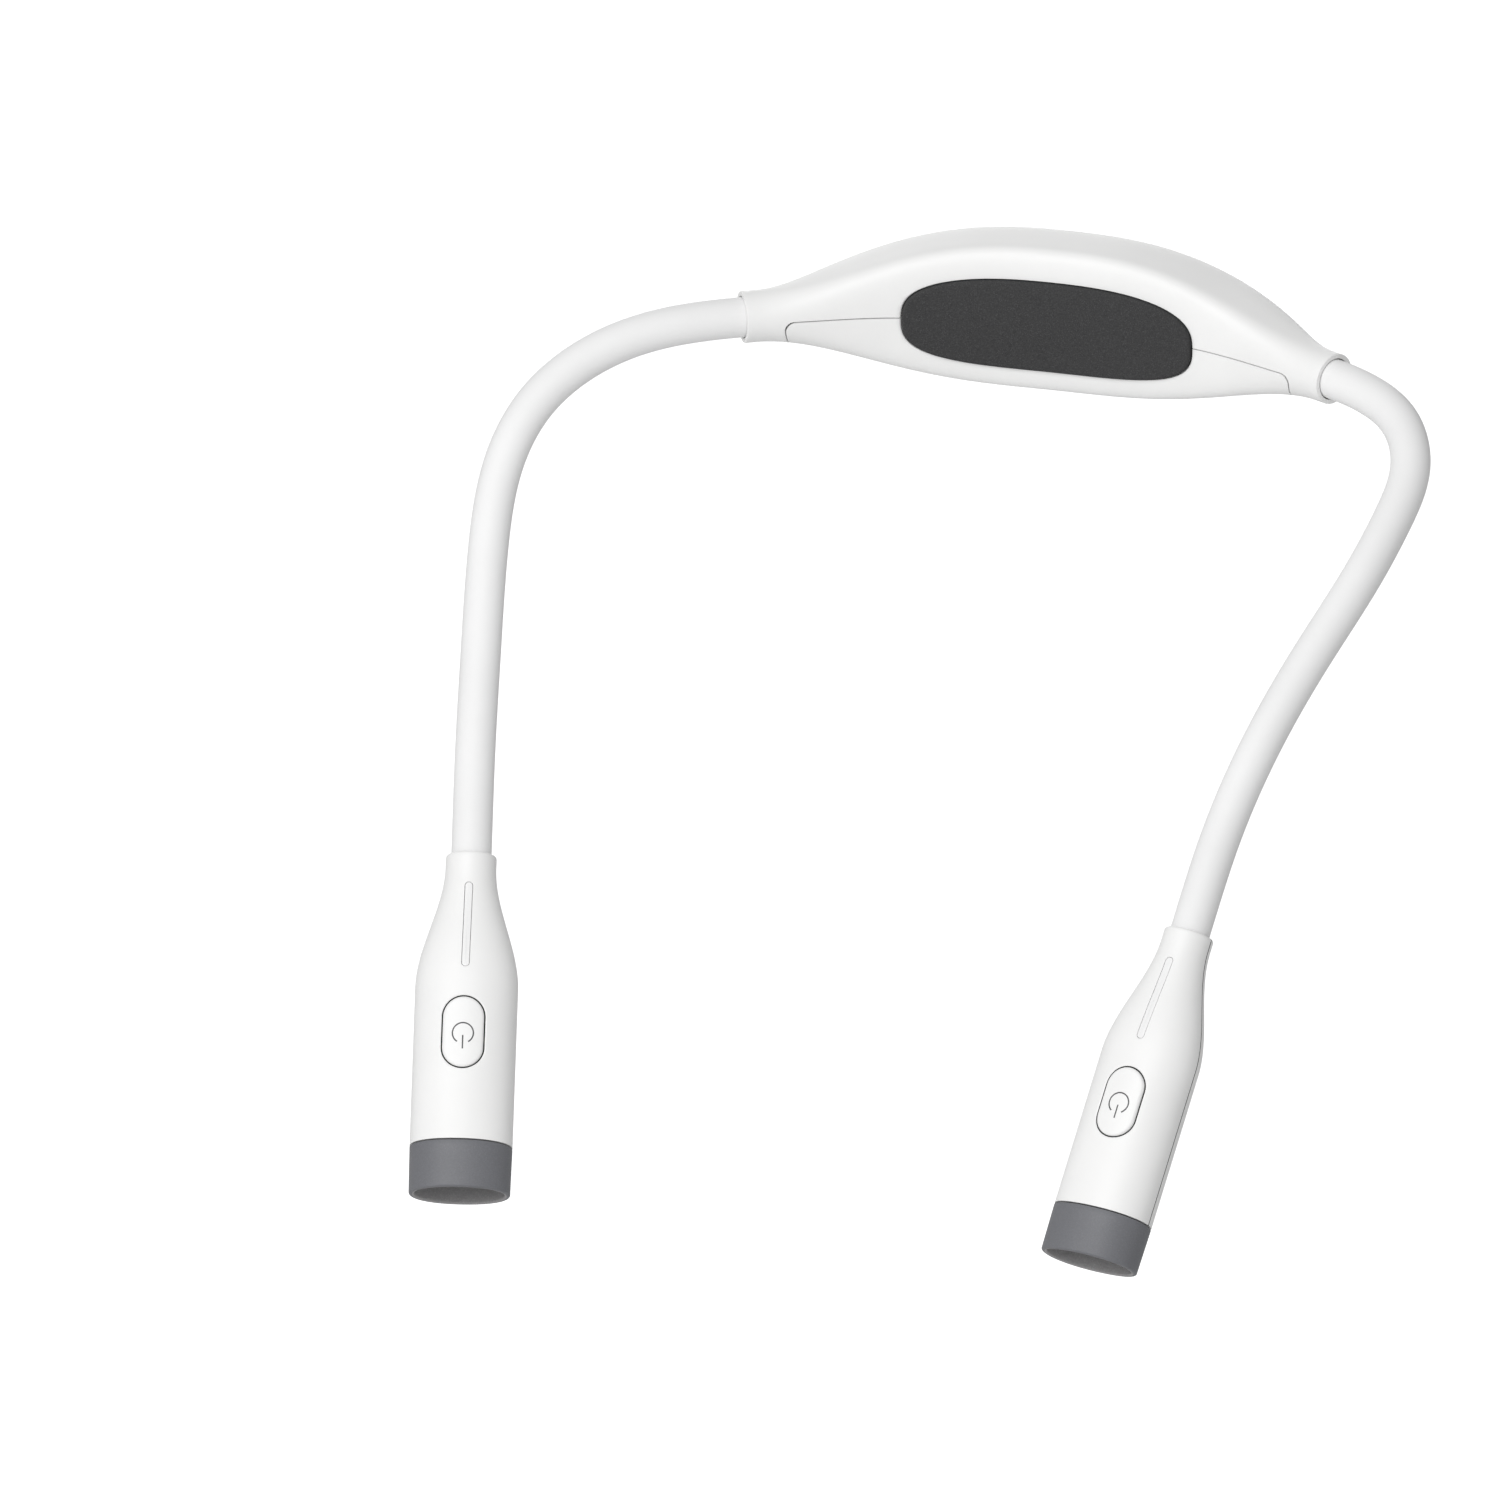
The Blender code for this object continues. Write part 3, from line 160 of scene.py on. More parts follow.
# Lamp heads, measured along the axis from the neck rim
HEAD_NECK_RADIUS = 0.00585
HEAD_WIDTH = 0.0237
HEAD_DEPTH = 0.0184
HEAD_SQUARENESS = 2.15
HEAD_WALL = 0.0014
HEAD_EDGE = 0.0007  # rounding of the neck's rim
LAP_SHARE = 0.5  # of the wall's thickness in front of the side seam's tongue
LAP_SLACK_SHARE = 0.1
LAP_RISE = 2 * SEAM_GAP  # of the back's tongue over its edge
NECK_LENGTH = 0.003
SHOULDER_LENGTH = 0.0285
SHELL_LENGTH = 0.0690
HEAD_STATIONS = 110
HEAD_RING_POINTS = 112
HEAD_INNER_STRIDE = 4  # outer points for each inner one

# Hood and lens
HOOD_LENGTH = 0.0114
HOOD_WALL = 0.0013
HOOD_TAPER = 0.00015
HOOD_EDGE = 0.0005  # rounding of the rim
HOOD_STEP_EDGE = HOOD_EDGE / 3  # rounding of the edge at the housing
SPIGOT_LENGTH = 0.004
SPIGOT_WALL = 0.0009
LENS_LIP_WIDTH = 0.0010
LENS_LIP_THICKNESS = 0.0008
LENS_LIP_SETBACK = 0.0074  # below the hood's rim
LENS_THICKNESS = 0.0018
LENS_CROWN = 0.0008
LENS_RINGS = 12
HOOD_RING_POINTS = 120
HOOD_OUTER_STEPS = 8
HOOD_INNER_STEPS = 6

# Button, power mark and light bar. A pill is its length, its width and its middle along the axis
BUTTON_ALONG = 0.0438
BUTTON_WIDTH = 0.0095
BUTTON_LENGTH = 0.0167
BUTTON_PROUD = 0.0003
BUTTON_PILL = (BUTTON_LENGTH, BUTTON_WIDTH, BUTTON_ALONG)
BUTTON_EDGE = 0.0006
BUTTON_SIDE = 0.0026  # how far its side reaches into the housing
HOLE_EDGE = 0.0005  # width of the housing's eased edge round the button
HOLE_EDGE_DEPTH = 0.0002
# Painted shade: below this depth the walls of the gap round the button get the black finish
GAP_PAINTED_SHADE_DEPTH = 0.0004  # below the face, where the gap round the button turns dark
BAR_START = 0.0076
BAR_LENGTH = 0.0206
BAR_WIDTH = 0.0017
BAR_PILL = (BAR_LENGTH, BAR_WIDTH, BAR_START + BAR_LENGTH / 2)
BAR_EDGE = 0.00012
BAR_SINK = 0.00005  # below the housing's face
BAR_SIDE = 0.0015
BAR_GAP = 0.0001
SLOT_EDGE = 0.00008
MARK_SHIFT = 0.0004  # of the ring's middle from the button's, towards the mouth
MARK_RADIUS = 0.00242
MARK_LINE = 0.00032
MARK_PROUD = 0.00002
MARK_GAP = math.radians(32)  # half of the ring's gap, on the mouth's side
MARK_STEM_START = 0.0005
MARK_STEM_END = 0.0037
MARK_RING_STEPS = 56
MARK_STEM_STEPS = 8
PILL_ARC_STEPS = 28
PILL_SIDE_STEPS = 14
PILL_MIDDLE = 4 * WELD_DISTANCE  # half of the strip left open down a pill's middle
BUTTON_FACE_STEPS = 10
BAR_FACE_STEPS = 4
EDGE_STEPS = 5
EDGE_MIDDLE = 0.3  # share of its radius by which a rounded edge's middle is drawn in

# Camera and the photograph's framing
PHOTO_SIZE = 1500
PHOTO_SCALE = 4350  # pixels per metre
ARCH_MIDDLE_PIXEL = (1058, 319.3)
VIEW_AZIMUTH = math.radians(15)
VIEW_ELEVATION = math.radians(23)
CAMERA_DISTANCE = 2.0

# Studio
FLOOR_HEIGHT = -0.42
FLOOR_SIZE = 7.0
FLOOR_GLOW = 0.6  # seen from the camera only, so that the floor reads as white
FILL_LEVEL = 0.44
LAMP_DISTANCE = 2.4
LAMP_SIZE = 1.5
KEY_POWER = 38.5
KEY_AZIMUTH = math.radians(-13)
KEY_ELEVATION = math.radians(40)
BACK_POWER = 12.0
BACK_AZIMUTH = math.radians(195)
BACK_ELEVATION = math.radians(5)

HALF_ARCH = ARCH_LENGTH / 2
CAVITY_HALF = HALF_ARCH - SOCKET_DEPTH
ARCH_MIDDLE = Vector((0, UNIT_FRONT_DEPTH + PAD_PROUD, -PAD_RISE))
HEAD_LENGTH = SHELL_LENGTH + HOOD_LENGTH


# Mesh helpers


def add_object(name, mesh):
    piece = bpy.data.objects.new(name, mesh)
    bpy.context.scene.collection.objects.link(piece)
    return piece


def smooth(mesh):
    mesh.shade_smooth()
    mesh.set_sharp_from_angle(angle=SMOOTH_ANGLE)


def finish_shape(name, shape):
    """Welds the faces, turns them outwards and makes them an object."""
    bmesh.ops.remove_doubles(shape, verts=shape.verts, dist=WELD_DISTANCE)
    bmesh.ops.recalc_face_normals(shape, faces=shape.faces)
    mesh = bpy.data.meshes.new(name)
    shape.to_mesh(mesh)
    shape.free()
    return add_object(name, mesh)


def add_rings(shape, rings, closed=False, capped=True):
    """Faces over rings of equal count, closed on the first ring, capped, or open."""
    rows = [[shape.verts.new(point) for point in ring] for ring in rings]
    following = rows[1:] + rows[:1] if closed else rows[1:]
    for near, far in zip(rows, following):
        for i in range(len(near)):
            j = (i + 1) % len(near)
            shape.faces.new((near[i], near[j], far[j], far[i]))
    if capped and not closed:
        shape.faces.new(rows[0])
        shape.faces.new(rows[-1])


def skin(name, rings, closed=False, capped=True):
    shape = bmesh.new()
    add_rings(shape, rings, closed, capped)
    return finish_shape(name, shape)


def prism(name, outline, depth):
    """A flat outline in XY made as deep as asked, with its middle at z = 0."""
    rings = [[Vector((x, y, z)) for x, y in outline] for z in (-depth / 2, depth / 2)]
    return skin(name, rings)


def cut(piece, cutters):
    """Cuts the piece by all the cutters in one pass."""
    group = bpy.data.collections.new("cutters")
    for cutter in cutters:
        group.objects.link(cutter)
    modifier = piece.modifiers.new("cut", "BOOLEAN")
    modifier.operand_type = "COLLECTION"
    modifier.collection = group
    bpy.context.view_layer.update()
    graph = bpy.context.evaluated_depsgraph_get()
    mesh = bpy.data.meshes.new_from_object(piece.evaluated_get(graph))
    piece.modifiers.clear()
    piece.data = mesh
    bpy.data.collections.remove(group)


def drop(pieces):
    for piece in pieces:
        bpy.data.objects.remove(piece)


def dress(piece, body, node):
    """Ties a piece to its body, and hides the model's node that it stands for."""
    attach(piece, body)
    if node:
        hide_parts(node)
    return piece


def paint(piece, *materials):
    """Gives a piece its materials on the object, so that pieces may share a mesh."""
    if not piece.data.materials:
        piece.data.materials.append(None)
    for i, slot in enumerate(piece.material_slots):
        slot.link = "OBJECT"
        slot.material = materials[min(i, len(materials) - 1)]


# Outlines and blends


def oval(right, left, up, down, power, count):
    """A closed outline with its own reach on each side, between round and boxy."""
    points = []
    for i in range(count):
        angle = math.tau * i / count
        across = math.copysign(abs(math.cos(angle)) ** (2 / power), math.cos(angle))
        rise = math.copysign(abs(math.sin(angle)) ** (2 / power), math.sin(angle))
        points.append((across * (right if across > 0 else left), rise * (up if rise > 0 else down)))
    return points


def bell(share, fall):
    """1 in the middle and 0 at the end, level at both."""
    return (1 + math.cos(math.pi * min(abs(share), 1) ** fall)) / 2


def ease(share):
    share = min(max(share, 0), 1)
    return share * share * (3 - 2 * share)


def between(small, large, share):
    return small + (large - small) * share


def direction(azimuth, elevation):
    """0 and 0 is forward, +Z is above, and the azimuth turns towards +X."""
    level = math.cos(elevation)
    return Vector((math.sin(azimuth) * level, -math.cos(azimuth) * level, math.sin(elevation)))


def quarter_round(radius, steps=EDGE_STEPS):
    """(in from the side, down from the face) along a rounded edge, from the side to the face."""
    turns = [math.pi / 2 * i / steps for i in range(steps + 1)]
    return [(radius * (1 - math.cos(turn)), radius * (1 - math.sin(turn))) for turn in turns]


def pill(length, width, inset=0.0):
    """A stadium with its length along the second axis, drawn in by inset."""
    reach = (length - width) / 2
    radius = width / 2 - inset
    points = []
    for end, start in ((1, 0), (-1, math.pi)):
        for i in range(PILL_ARC_STEPS + 1):
            angle = start + math.pi * i / PILL_ARC_STEPS
            points.append((radius * math.cos(angle), end * reach + radius * math.sin(angle)))
        for i in range(1, PILL_SIDE_STEPS):
            points.append((-end * radius, end * reach * (1 - 2 * i / PILL_SIDE_STEPS)))
    return points


# Central unit


def arch(along, inward=0.0, up=0.0):
    """A point by its distance along the arch, in towards the neck, and up."""
    turn = along / ARCH_RADIUS
    reach = ARCH_RADIUS - inward
    return ARCH_MIDDLE + Vector((reach * math.sin(turn), reach * math.cos(turn) - ARCH_RADIUS, up))


def unit_ring(along, wall=0.0, front_wall=0.0, count=UNIT_RING_POINTS):
    share = along / (HALF_ARCH - SOCKET_NECK_LENGTH)
    deep = bell(share, DEPTH_FALL)
    front = between(SOCKET_RADIUS, UNIT_FRONT_DEPTH, deep)
    back = between(SOCKET_RADIUS, UNIT_BACK_DEPTH, deep)
    top = between(SOCKET_RADIUS, UNIT_TOP_HEIGHT, bell(share, TOP_FALL))
    bottom = between(SOCKET_RADIUS, UNIT_BOTTOM_HEIGHT, bell(share, BOTTOM_FALL))
    power = between(ROUNDNESS, UNIT_SQUARENESS, bell(share, ROUNDNESS))
    front_wall = front_wall * bell(share, ROUNDNESS)
    outline = oval(front - wall - front_wall, back - wall, top - wall, bottom - wall, power, count)
    return [arch(along, inward, up) for inward, up in outline]


def unit_block(name):
    """The whole unit as one solid with rounded socket rims."""
    reach = HALF_ARCH - SOCKET_EDGE
    stations = [(reach * i / UNIT_STATIONS, 0) for i in range(UNIT_STATIONS)]
    for setback, inset in reversed(quarter_round(SOCKET_EDGE)):
        stations.append((HALF_ARCH - setback, inset))
    whole = [(-along, inset) for along, inset in reversed(stations[1:])] + stations
    return skin(name, [unit_ring(along, inset) for along, inset in whole])


def unit_hollow():
    steps = range(-UNIT_STATIONS // 2, UNIT_STATIONS // 2 + 1)
    stations = [CAVITY_HALF * 2 * i / UNIT_STATIONS for i in steps]
    rings = [unit_ring(along, UNIT_WALL, PAD_RECESS, UNIT_RING_POINTS // 2) for along in stations]
    return skin("unit_hollow", rings)


def socket_bore(side):
    """A round hole along the arch, from the hollow out past the socket's rim."""
    radius = TUBE_RADIUS + CLEARANCE
    turns = [math.tau * i / SLEEVE_RING_POINTS for i in range(SLEEVE_RING_POINTS)]
    rings = []
    for i in range(SOCKET_BORE_STEPS + 1):
        share = i / SOCKET_BORE_STEPS
        along = side * between(CAVITY_HALF - CUT_OVERRUN, HALF_ARCH + CUT_OVERRUN, share)
        ring = [arch(along, -radius * math.cos(turn), radius * math.sin(turn)) for turn in turns]
        rings.append(ring)
    return skin("left_socket_bore" if side < 0 else "right_socket_bore", rings)


def pad_outline(inset):
    """The pad's outline: distance along the arch and height over its middle."""
    length, height = PAD_LENGTH / 2 - inset, PAD_HEIGHT / 2 - inset
    return oval(length, length, height, height, PAD_SQUARENESS, PAD_OUTLINE_POINTS)


def pad_ring(inset, inward):
    return [arch(along, inward, PAD_RISE + up) for along, up in pad_outline(inset)]


def pad_recess():
    """The pocket that the pad lies in, with an eased edge at the housing's face."""
    floor = UNIT_FRONT_DEPTH - PAD_RECESS
    profile = [
        (-CLEARANCE, floor),
        (-CLEARANCE, UNIT_FRONT_DEPTH - HOLE_EDGE_DEPTH),
        (-CLEARANCE - HOLE_EDGE / 2, UNIT_FRONT_DEPTH - HOLE_EDGE_DEPTH / 4),
        (-CLEARANCE - HOLE_EDGE, UNIT_FRONT_DEPTH + HOLE_EDGE_DEPTH / 4),
        (-CLEARANCE - HOLE_EDGE, UNIT_FRONT_DEPTH + CUT_OVERRUN),
    ]
    return skin("pad_recess", [pad_ring(inset, inward) for inset, inward in profile])


def cover_outline(shrink, setback):
    """The lower cover's outline seen from the front, about the arch's middle."""
    end = arch(HALF_ARCH - COVER_SETBACK).x - shrink - setback
    pad_end = arch(PAD_LENGTH / 2).x
    low = -UNIT_BOTTOM_HEIGHT - CUT_OVERRUN
    high = SEAM_END_HEIGHT - shrink
    middle = SEAM_MIDDLE_HEIGHT - shrink
    right = [(end, low)]
    for i in range(SEAM_STEPS + 1):
        angle = math.pi / 2 * i / SEAM_STEPS
        x = end - COVER_CORNER_RADIUS * (1 - math.cos(angle))
        z = high - COVER_CORNER_RADIUS * (1 - math.sin(angle))
        right.append((x, z))
    corner = right[-1][0]
    pad_height = between(high, middle, bell(pad_end / end, 1))
    for i in range(1, SEAM_STEPS + 1):
        share = i / SEAM_STEPS
        right.append((between(corner, pad_end, share), between(high, pad_height, ease(share))))
    left = [(-x, z) for x, z in reversed(right)]
    return right + left


def cover_region(name, shrink, around):
    """A deep plate of the cover's outline, or of all that lies around it.

    Behind the middle of its ends the outline steps in, so that the seam there is a lip and no
    light shows through it.
    """
    side = HALF_ARCH + CUT_OVERRUN
    top = UNIT_TOP_HEIGHT + CUT_OVERRUN
    ends_forward = ARCH_MIDDLE.y - arch(HALF_ARCH, UNIT_FRONT_DEPTH).y
    half_depth = max(ends_forward, UNIT_BACK_DEPTH) + CUT_OVERRUN
    step_forward = ARCH_MIDDLE.y - arch(HALF_ARCH - COVER_SETBACK).y + shrink
    rings = []
    for forward, setback in (
        (-half_depth, SEAM_LIP),
        (step_forward, SEAM_LIP),
        (step_forward, 0),
        (half_depth, 0),
    ):
        outline = cover_outline(shrink, setback)
        if around:
            low = outline[0][1]
            outline += [(-side, low), (-side, top), (side, top), (side, low)]
        rings.append([ARCH_MIDDLE + Vector((x, -forward, z)) for x, z in outline])
    return skin(name, rings)


def port_cutter(name, width, height, low, high):
    """A pill round the charging port, between two heights."""
    port_low, port_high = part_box("usb_c_receptacle")
    middle = (port_low + port_high) / 2
    cutter = prism(name, pill(width, height), high - low)
    place = Matrix.Translation((middle.x, middle.y, (low + high) / 2))
    cutter.matrix_world = place @ Matrix.Rotation(math.pi / 2, 4, "Z")
    return cutter


def unit_pieces():
    inside = [unit_hollow(), pad_recess(), socket_bore(-1), socket_bore(1)]
    cover_room = cover_region("cover_room", 0, around=False)
    cover_surround = cover_region("cover_surround", SEAM_GAP, around=True)
    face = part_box("usb_c_receptacle")[0].z
    low = face - CUT_OVERRUN
    high = face + UNIT_WALL + CUT_OVERRUN
    width, height = PORT_WIDTH + 2 * CLEARANCE, PORT_HEIGHT + 2 * CLEARANCE
    slot = port_cutter("port_slot", width, height, low, high)
    low -= PORT_POCKET_DEPTH
    pocket = port_cutter("port_pocket", PORT_POCKET_WIDTH, PORT_POCKET_HEIGHT, low, face)
    upper = unit_block("upper_housing")
    cut(upper, [*inside, cover_room])
    lower = unit_block("lower_housing")
    cut(lower, [*inside, cover_surround, pocket, slot])
    drop([*inside, cover_room, cover_surround, pocket, slot])
    for piece, node in ((upper, "upper_shell"), (lower, "lower_cover")):
        smooth(piece.data)
        dress(piece, "unit", node)
    return upper, lower


def pad_sheet(shape, inset, inward, swell):
    """Rows of faces right across the pad, this far in from its outline, that may swell a little."""
    rows = []
    for along, height in pad_outline(inset)[: PAD_OUTLINE_POINTS // 2 + 1]:
        row = []
        for j in range(PAD_ROWS + 1):
            share = 1 - 2 * j / PAD_ROWS
            rise = swell * (1 - share**2) * (1 - (2 * along / PAD_LENGTH) ** PAD_SWELL_POWER)
            row.append(shape.verts.new(arch(along, inward + rise, PAD_RISE + height * share)))
        rows.append(row)
    for near, far in zip(rows, rows[1:]):
        for j in range(PAD_ROWS):
            shape.faces.new((near[j], near[j + 1], far[j + 1], far[j]))


def neck_pad():
    """The foam pad: a flat back, rounded edges and a face that swells a little over its middle."""
    floor = UNIT_FRONT_DEPTH - PAD_RECESS + CLEARANCE
    face = UNIT_FRONT_DEPTH + PAD_PROUD + PAD_PLUMP
    rings = [pad_ring(PAD_EDGE / 2, floor), pad_ring(0, floor + PAD_EDGE / 2)]
    rings += [pad_ring(inset, face - down) for inset, down in quarter_round(PAD_EDGE)]
    shape = bmesh.new()
    add_rings(shape, rings, capped=False)
    pad_sheet(shape, PAD_EDGE / 2, floor, 0)
    pad_sheet(shape, PAD_EDGE, face, PAD_SWELL)
    pad = finish_shape("foam_pad", shape)
    smooth(pad.data)
    return dress(pad, "unit", "neck_pad")


# Arms


def spline_slopes(knots, steps, first, last):
    """Slopes at the knots of the cubic spline that leaves and arrives as told."""
    count = len(knots)
    matrix = np.eye(count)
    sides = np.zeros((count, 3))
    sides[0] = first
    sides[-1] = last
    chords = np.diff(knots, axis=0) / steps[:, None]
    for i in range(1, count - 1):
        matrix[i, i - 1] = steps[i]
        matrix[i, i] = 2 * (steps[i - 1] + steps[i])
        matrix[i, i + 1] = steps[i - 1]
        sides[i] = 3 * (steps[i] * chords[i - 1] + steps[i - 1] * chords[i])
    return np.linalg.solve(matrix, sides)


def spline_points(knots, first, last):
    """Close points on a smooth curve through the knots."""
    knots = np.array(knots)
    steps = np.linalg.norm(np.diff(knots, axis=0), axis=1)
    slopes = spline_slopes(knots, steps, first, last)
    points = [knots[0]]
    for i, step in enumerate(steps):
        for j in range(1, ROUTE_SPAN_STEPS + 1):
            t = j / ROUTE_SPAN_STEPS
            point = (
                (1 + 2 * t) * (1 - t) ** 2 * knots[i]
                + t * (1 - t) ** 2 * step * slopes[i]
                + t * t * (3 - 2 * t) * knots[i + 1]
                + t * t * (t - 1) * step * slopes[i + 1]
            )
            points.append(point)
    return np.array(points)


class ArmLine:
    """An arm's centre line by distance: 0 at the socket rim, ARM_LENGTH at the lamp's neck rim."""

    def __init__(self, side, shares, aim):
        below, turn_in = (math.radians(angle) for angle in aim)
        self.side = side
        self.aim = direction(-side * turn_in, -below)
        self.start = arch(side * HALF_ARCH)
        turn = HALF_ARCH / ARCH_RADIUS
        leave = Vector((side * math.cos(turn), -math.sin(turn), 0))
        knots = [(0, 0, 0)] + [(side * out, -forward, -down) for out, forward, down in shares]
        points = spline_points(knots, leave, self.aim)
        lengths = np.linalg.norm(np.diff(points, axis=0), axis=1)
        self.lengths = np.concatenate([[0], np.cumsum(lengths)]) / lengths.sum()
        self.points = points / lengths.sum()
        self.end = self.at(ARM_LENGTH)

    def at(self, distance):
        if distance < 0:
            return arch(self.side * (HALF_ARCH + distance))
        share = min(distance / ARM_LENGTH, 1)
        spot = [np.interp(share, self.lengths, self.points[:, i]) for i in range(3)]
        point = self.start + ARM_LENGTH * Vector(spot)
        return point + self.aim * max(distance - ARM_LENGTH, 0)

    def heading(self, distance):
        return (self.at(distance + SLEEVE_STEP) - self.at(distance - SLEEVE_STEP)).normalized()


def sleeve_frames(line, distances):
    """A side direction across the sleeve at each distance, carried along without twist."""
    across = Vector((0, 0, 1))
    sides = []
    for distance in distances:
        along = line.heading(distance)
        across = (across - along * across.dot(along)).normalized()
        sides.append((line.at(distance), across.copy(), along.cross(across)))
    return sides


def sleeve_ring(place, across, third):
    ring = []
    for i in range(SLEEVE_RING_POINTS):
        turn = math.tau * i / SLEEVE_RING_POINTS
        outward = across * math.cos(turn) + third * math.sin(turn)
        ring.append((place + outward * TUBE_RADIUS, outward))
    return ring


def sleeve_pieces(word, line):
    """One soft length of sleeve over each bend, along the arm's line."""
    bends = [share * ARM_LENGTH for share in BEND_SHARES]
    joins = [(near + far) / 2 for near, far in zip(bends, bends[1:])]
    ends = [-SOCKET_DEPTH + CLEARANCE] + joins + [ARM_LENGTH + ARM_INSERT]
    pieces = []
    for i, bend in enumerate(bends):
        steps = max(2, round((ends[i + 1] - ends[i]) / SLEEVE_STEP))
        distances = [between(ends[i], ends[i + 1], j / steps) for j in range(steps + 1)]
        rings = [sleeve_ring(*side) for side in sleeve_frames(line, distances)]
        name = f"{word}_soft_sleeve_{i + 1}"
        piece = skin(name, [[point for point, _ in ring] for ring in rings], capped=False)
        piece.data.shade_smooth()
        normals = [outward for ring in rings for _, outward in ring]
        piece.data.normals_split_custom_set_from_vertices(normals)
        start = line.at(bend - BEND_REACH)
        end = line.at(bend + BEND_REACH)
        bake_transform(piece)
        nodes = [f"{word}_sleeve_{i + 1}"]
        if i == len(bends) - 1:
            nodes.append(f"{word}_sleeve_{i + 2}")
        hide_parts(*nodes)
        pieces.append(piece)
    return pieces


# Lamp heads, in the head's own places: Z from the neck rim to the mouth, +Y the button's side


def head_sizes(along):
    share = ease((along - NECK_LENGTH) / SHOULDER_LENGTH)
    width = between(HEAD_NECK_RADIUS, HEAD_WIDTH / 2, share)
    depth = between(HEAD_NECK_RADIUS, HEAD_DEPTH / 2, share)
    return width, depth, between(ROUNDNESS, HEAD_SQUARENESS, share)


def head_outline(along, inset, count):
    width, depth, power = head_sizes(along)
    bore = TUBE_RADIUS + CLEARANCE
    across = max(width - inset, bore)
    deep = max(depth - inset, bore)
    return oval(across, across, deep, deep, power, count)


def face_height(x, along):
    """Height of the housing's outer face on the button's side."""
    width, depth, power = head_sizes(along)
    return depth * (1 - min(abs(x) / width, 1) ** power) ** (1 / power)


def head_half(name, side, lap_share, rise):
    """Half of the housing: its outer face, a lapped edge at the side seams, and its inner face.

    Past this share of the wall, the edge rises: the back's as a tongue that stands in the
    front's groove, so that no light shows through the seam.
    """
    stations = [(down, inset) for inset, down in reversed(quarter_round(HEAD_EDGE))]
    reach = SHELL_LENGTH - HEAD_EDGE
    stations += [(HEAD_EDGE + reach * i / HEAD_STATIONS, 0) for i in range(1, HEAD_STATIONS + 1)]
    half = HEAD_RING_POINTS // 2
    edge = side * SEAM_GAP / 2
    rings = []
    for along, inset in stations:
        outer = head_outline(along, inset, HEAD_RING_POINTS)[: half + 1]
        inner = head_outline(along, HEAD_WALL, HEAD_RING_POINTS)[: half + 1 : HEAD_INNER_STRIDE]
        reach_out, reach_in = outer[0][0], inner[0][0]
        bend = between(reach_out, reach_in, lap_share)
        wall = [(reach_out, edge)] + [(x, side * y) for x, y in outer[1:-1]] + [(-reach_out, edge)]
        wall += [(-bend, edge), (-bend, edge + rise), (-reach_in, edge + rise)]
        wall += [(x, side * y) for x, y in inner[-2:0:-1]]
        wall += [(reach_in, edge + rise), (bend, edge + rise), (bend, edge)]
        rings.append([Vector((x, y, along)) for x, y in wall])
    return skin(name, rings)


def face_pill(length, width, middle, inset, down):
    """A pill drawn on the button's side, this far in from its outline and down from the face."""
    points = []
    for x, z in pill(length, width, inset):
        along = middle + z
        points.append(Vector((x, face_height(x, along) - down, along)))
    return points


def eased_cutter(name, size, gap, edge, edge_depth):
    """A pill cutter that flares at the housing's face, so that the hole's edge is eased."""
    profile = [
        (0, CUT_OVERRUN * 2),
        (0, edge_depth),
        (-edge / 3, edge_depth / 3),
        (-edge, -edge_depth / 4),
        (-edge, -CUT_OVERRUN),
    ]
    return skin(name, [face_pill(*size, inset - gap, down) for inset, down in profile])


def pill_cap(name, size, side, edge, proud, steps):
    """A cap with deep sides, a rounded edge, and a face that follows the housing's."""
    rings = [face_pill(*size, 0, side)]
    rings += [face_pill(*size, inset, down - proud) for inset, down in quarter_round(edge)]
    reach = size[1] / 2 - edge - PILL_MIDDLE
    rings += [face_pill(*size, edge + reach * i / steps, -proud) for i in range(1, steps + 1)]
    return skin(name, rings)


# Painted shade: the walls of the gap round the button, this deep below the face, take the black finish
# where only shade falls
def in_painted_button_gap_shade(face):
    x, y, along = face.center
    beyond = max(abs(along - BUTTON_ALONG) - (BUTTON_LENGTH - BUTTON_WIDTH) / 2, 0)
    near = math.hypot(x, beyond) < BUTTON_WIDTH / 2 + 2 * CLEARANCE
    return near and face_height(x, along) - y > GAP_PAINTED_SHADE_DEPTH


# Painted shade: the faces of the side seam's gap take the black finish, standing in for the shade in the
# seam
def in_painted_seam_shade(face):
    return abs(abs(face.center.y) - SEAM_GAP / 2) < WELD_DISTANCE


def in_painted_mouth_light(face):
    """On the hood's inner wall, between the rim and the lens's lip, where a paler copy of the hood's
    grey stands in as painted light.
    """
    x, y, along = face.center
    faces_in = face.normal.x * x + face.normal.y * y < 0
    return faces_in and along > HEAD_LENGTH - LENS_LIP_SETBACK


def mark_painted_shading(mesh, *tests):
    """Gives the faces that pass a test a second material slot, which carries the piece's painted shade,
    or on the hood its painted light.
    """
    mesh.materials.append(None)
    mesh.materials.append(None)
    for face in mesh.polygons:
        if any(test(face) for test in tests):
            face.material_index = 1


def mark_rings(path):
    """Sections of a thin printed line along (x, along) points of the button's face."""
    rings = []
    for i, (x, z) in enumerate(path):
        ahead = path[min(i + 1, len(path) - 1)]
        behind = path[max(i - 1, 0)]
        run = Vector((ahead[0] - behind[0], ahead[1] - behind[1])).normalized()
        normal = Vector((-run.y, run.x)) * MARK_LINE / 2
        ring = []
        for side, rise in ((-1, -1), (-1, 1), (1, 1), (1, -1)):
            px = x + side * normal.x
            pz = z + side * normal.y
            ring.append((px, face_height(px, pz) + BUTTON_PROUD + rise * MARK_PROUD, pz))
        rings.append(ring)
    return rings


